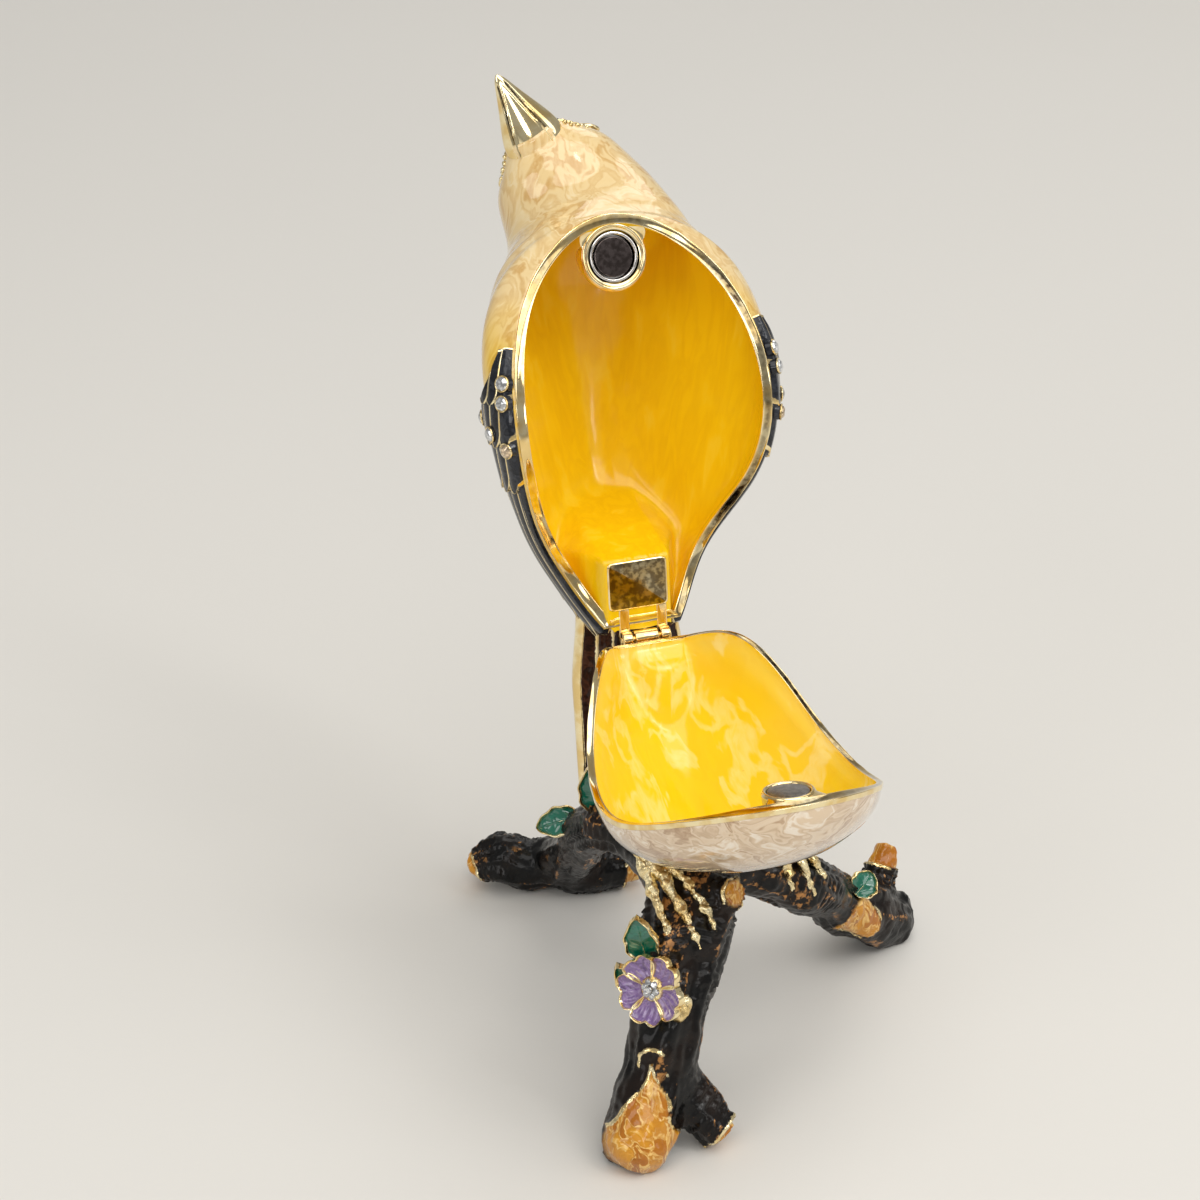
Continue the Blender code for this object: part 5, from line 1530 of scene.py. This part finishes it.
# How thick a leaf and a petal are, under the lift of their faces
LEAF_THICK = 0.9
PETAL_THICK = 1.15
# A toe's radius from its root at 0 to its tip at 1; a leg is this much thicker
TOE_ALONG = (0.0, 0.12, 0.5, 0.85, 1.0)
TOE_RADIUS = (0.95, 0.9, 0.68, 0.5, 0.18)
LEG_SHARE = 1.5


def claws():
    """Claws: each toe is a knobbly tube whose radius swings along it in joints and is roughened all over."""
    for name, paths in CLAWS.items():
        sheets = []
        for number, path in enumerate(paths):
            line = floored(curve_points(path, 90))
            t = np.linspace(0.0, 1.0, len(line))
            base = np.interp(t, TOE_ALONG, TOE_RADIUS) * (LEG_SHARE if number == 0 else 1.0)
            joints = 1.0 + 0.10 * np.cos(t * TURN * 4.5 + number)
            rings = tube(line, (base * joints)[:, None] + np.zeros(33), 32)
            lumps = rough(rings, 1.1, 100 + number, 3)[..., None] * 0.34
            rings = rings + unit(rings - line[:, None]) * lumps
            rings[:, -1] = rings[:, 0]
            sheets.append(sheet(capped(rings)))
        make_piece(name.replace("claw", "foot"), "base", sheets, [GOLD_ROUGH], [name], 60.0)


def leaf(name, root, tip, facing, width):
    """A leaf: half width swells as a power of a sine along it, the edge is a raised gilt cord, the blade a
    shallow pool of enamel with a folded midrib and faint side veins."""
    root, tip = floored(root), floored(tip)
    lengthwise = tip - root
    length = np.linalg.norm(lengthwise)
    side = unit(np.cross(facing, lengthwise))
    normal = unit(np.cross(lengthwise, side))
    along = 0.5 - 0.5 * np.cos(np.linspace(0.0, math.pi, 90))
    a, v = np.meshgrid(along, np.linspace(-1.0, 1.0, 71), indexing="ij")
    half = 0.5 * width * np.clip(np.sin(math.pi * a ** 0.85), 0.0, 1.0) ** 0.6
    half = half * (1.0 + 0.05 * np.sin(a * 19.0 + v * 2.0))
    edge = np.minimum((1.0 - np.abs(v)) * half, 2.2 * np.minimum(a, 1.0 - a) * length)
    cord = bell(edge, 0.18, 0.2)
    vein = 0.12 * bell(v * half, 0.0, 0.12) * ease((0.9 - a) / 0.2)
    ribs = 0.05 * np.cos((a * length * 1.4 - np.abs(v) * half) * 2.6) * ease((edge - 0.4) / 0.4)
    lift = 0.5 * np.sin(math.pi * a) + 0.45 * v * v + 0.34 * cord + vein + ribs
    flat = root + lengthwise * a[..., None] + side * (half * v)[..., None]
    cord_rough = rough(flat, 1.6, 120, 2) * 0.10 * cord
    top = flat + normal * (lift + cord_rough)[..., None]
    below = flat + normal * (lift - LEAF_THICK)[..., None]
    gold = np.clip(cord * 1.25 + bell(v * half, 0.0, 0.07) * ease((0.7 - a) / 0.3) * 0.6, 0.0, 1.0)
    grid = sheet(pillow(top, below), 0, gold=pillow(gold, 0.0 * gold + 1.0))
    make_piece("enamel_" + name, "base", [grid], [LEAF_ENAMEL], [name], 60.0)


def petal(number, length, centre, facing, out):
    """A petal that widens outwards and is notched at its end, cupped, with a raised gilt edge and streaks
    from the middle outwards."""
    across = np.cross(facing, out)
    t, v = np.meshgrid(np.linspace(0.0, 1.0, 60), np.linspace(-1.0, 1.0, 61), indexing="ij")
    notch = 0.10 * bell(v, 0.0, 0.22) * t
    reach = PETAL_ROOT + (length - PETAL_ROOT) * t * (1.0 - 0.22 * v ** 4 - notch)
    half = 0.7 + 1.95 * np.sin(np.clip(t * 1.9, 0.0, 1.75)) ** 1.1
    half = half * (1.0 - 0.18 * t ** 3)
    edge = np.minimum((1.0 - np.abs(v)) * half, (1.0 - t) * length * 0.8)
    cord = bell(edge, 0.13, 0.17)
    streak = 0.06 * np.cos(v * 17.0 + 1.5 * np.sin(t * 4.0 + number)) * ease((edge - 0.3) / 0.3)
    lift = 0.75 + 0.75 * t ** 1.5 + 0.4 * v * v - 0.35 * np.sin(math.pi * t) + 0.26 * cord + streak
    lift = lift + 0.12 * (number % 2)
    flat = centre + out * reach[..., None] + across * (half * v)[..., None]
    top = flat + facing * lift[..., None]
    below = flat + facing * (lift - PETAL_THICK)[..., None]
    return sheet(pillow(top, below), 0, gold=pillow(np.clip(cord * 1.25, 0.0, 1.0), 0.0 * cord + 1.0))


def flower():
    """Five heart-shaped petals round a gold cup, a bud beside them, and small stones in the cup."""
    centre, facing = floored(FLOWER_AT), unit(np.asarray(FLOWER_FACES, float))
    up = unit(np.array([0.0, 0.0, 1.0]) - facing * facing[2])
    side = np.cross(up, facing)

    def outward(heading):
        return math.cos(heading) * side + math.sin(heading) * up

    sheets = []
    for number, length in enumerate(PETAL_LENGTHS):
        heading = math.radians(60.0 + 360.0 / len(PETAL_LENGTHS) * number)
        sheets.append(petal(number, length, centre, facing, outward(heading)))
    cup = [(0.0, -0.9), (1.5, -0.6), (1.75, 0.4), (1.6, 1.0), (1.3, 1.15), (0.0, 0.95)]
    sheets.append(sheet(lathe(cup, centre, facing, 48), 1))
    bud_at = centre + side * 3.9 - up * 1.6 - facing * 0.6
    turn = np.linspace(0.0, math.pi, 16)
    bud = [(1.25 * math.sin(angle), 2.1 * math.cos(angle)) for angle in turn]
    bud = lathe(bud, bud_at, up * 0.9 + side * 0.3, 32)
    bud = bud + unit(bud - bud_at) * rough(bud, 1.1, 130, 2)[..., None] * 0.25
    bud[:, -1] = bud[:, 0]
    sheets.append(sheet(bud, 1))
    make_piece("enamel_flower", "base", sheets, [PETAL_ENAMEL, GOLD_ROUGH], ["flower"], 60.0)
    stones = []
    for number in range(FLOWER_STONES):
        middle = number == FLOWER_STONES - 1
        heading = TURN * number / (FLOWER_STONES - 1)
        at = centre + outward(heading) * (0.0 if middle else 0.92) + facing * (1.3 + 0.3 * middle)
        lean = unit(facing + 0.35 * (at - centre - facing) * (not middle))
        stones.append(sheet(cut_stone(at, lean, 0.52, -0.4)))
    make_piece("flower_stones", "base", stones, [CRYSTAL], ["flower_gem"], 12.0)


# ---------------------------------------------------------------- studio

def floor_finish():
    """Warm pale paper: a faint cloud in its tone and a fine tooth."""
    material, tree, shader = start_finish("studio_paper", Roughness=0.85, Specular_IOR_Level=0.2)
    place = add(tree, "TexCoord").outputs["Object"]
    cloud = noise(tree, place, 3.0, 3.0)
    tooth = noise(tree, place, 900.0, 2.0)
    paper = blend(tree, cloud, (0.70, 0.68, 0.64), (0.73, 0.715, 0.68))
    tree.links.new(paper, shader.inputs["Base Color"])
    bump(tree, shader, tooth, 0.00002)
    return material


# The sweep, in metres: half its size, where its floor begins to rise, how far back it runs and how high
SWEEP_HALF = 6.0
SWEEP_BEND = 0.45
SWEEP_BACK = 2.4
SWEEP_HIGH = 0.9


def studio():
    """A seamless sweep: flat under the branch, rising behind in a long easy curve."""
    across = np.linspace(-SWEEP_HALF, SWEEP_HALF, 40)
    along = np.concatenate([np.linspace(-SWEEP_HALF, 0.4, 10), np.linspace(SWEEP_BEND, SWEEP_BACK, 90)])
    x, y = np.meshgrid(across, along)
    z = SWEEP_HIGH * ease((y - SWEEP_BEND) / 1.5) ** 2
    mesh = bpy.data.meshes.new("sweep")
    mesh.from_pydata(np.stack([x, y, z], axis=-1).reshape(-1, 3).tolist(), [], quads_of(*x.shape).tolist())
    mesh.shade_smooth()
    mesh.materials.append(floor_finish())
    sweep = placed("sweep", mesh)


# Each lamp: its place, width and height in metres, its power in watts and its colour
LAMPS = {
    "key": ((0.1, -0.5, 1.15), 1.6, 1.3, 11.0, (1.0, 0.985, 0.96)),
    "right": ((0.9, -0.6, 0.6), 0.6, 0.7, 1.6, (1.0, 0.985, 0.96)),
    "fill": ((-0.9, -0.5, 0.55), 0.6, 0.7, 2.2, (1.0, 0.985, 0.97)),
    "front": ((-0.2, -1.2, 0.45), 0.35, 0.35, 1.2, (1.0, 0.985, 0.96)),
    "back": ((0.5, 0.8, 0.9), 0.9, 0.7, 2.2, (1.0, 0.98, 0.95)),
    "strip": ((0.3, -0.5, 0.7), 0.10, 0.45, 0.7, (1.0, 0.99, 0.97)),
}
LAMPS_AIM = (0.0, 0.0, 0.06)
SURROUND_COLOUR = (0.96, 0.95, 0.93, 1.0)
SURROUND_STRENGTH = 0.36


def area_light(name, place, width, height, power, colour):
    """A soft oval lamp aimed at the box."""
    data = bpy.data.lights.new(name, "AREA")
    data.shape = "ELLIPSE"
    data.size = width
    data.size_y = height
    data.energy = power
    data.color = colour
    lamp = placed(name, data)
    lamp.location = place
    lamp.rotation_euler = (Vector(LAMPS_AIM) - Vector(place)).to_track_quat("-Z", "Y").to_euler()


def lights():
    """A wide soft key overhead, weaker lamps at the sides, front and back, a narrow strip for small bright
    glints, and a dim surround that leaves the gold its dark reflections."""
    for name, values in LAMPS.items():
        area_light(name, *values)
    world = bpy.data.worlds.new("surround")
    world.use_nodes = True
    back = world.node_tree.nodes["Background"]
    back.inputs["Color"].default_value = SURROUND_COLOUR
    back.inputs["Strength"].default_value = SURROUND_STRENGTH
    bpy.context.scene.world = world


# The camera's angle from straight ahead, its angle above the floor, its distance from the hinge, its lens in
# millimetres, and how far its frame is shifted, as shares of the frame
CAMERA_HEADING = math.radians(19.5)
CAMERA_HEIGHT = math.radians(27.5)
CAMERA_DISTANCE = 0.4
CAMERA_LENS = 90.0
CAMERA_SHIFT = (-0.0379, 0.0308)


def camera():
    """The camera: to the bird's right and above, aimed at the hinge, shifted a little to frame the whole."""
    away = Vector((-math.sin(CAMERA_HEADING) * math.cos(CAMERA_HEIGHT),
                   -math.cos(CAMERA_HEADING) * math.cos(CAMERA_HEIGHT), math.sin(CAMERA_HEIGHT)))
    right = Vector((math.cos(CAMERA_HEADING), -math.sin(CAMERA_HEADING), 0.0))
    data = bpy.data.cameras.new("view")
    data.lens = CAMERA_LENS
    data.sensor_width = 36.0
    data.clip_start = 0.01
    data.shift_x, data.shift_y = CAMERA_SHIFT
    view = placed("view", data)
    turn = Matrix((right, away.cross(right), away)).transposed().to_4x4()
    view.matrix_world = Matrix.Translation(Vector(HINGE) + away * CAMERA_DISTANCE) @ turn
    bpy.context.scene.camera = view
    bpy.context.scene.view_settings.view_transform = "Standard"


camera()
lights()
studio()
lid_body()
rim_band("lid_rim", "lid", -1.0, 0.0, 0.8, LID_RIM)
lid_fittings()
beak()
eyes()
face_beads()
wings()
tail()
wing_stones()
bowl_body()
rim_band("bowl_rim", "base", 1.0, GAP, 0.9, bowl_rim_width(around(RIM_STEPS)))
bowl_fittings()
hinge_fittings()
branch()
claws()
for leaf_name, leaf_shape in LEAVES.items():
    leaf(leaf_name, *leaf_shape)
flower()
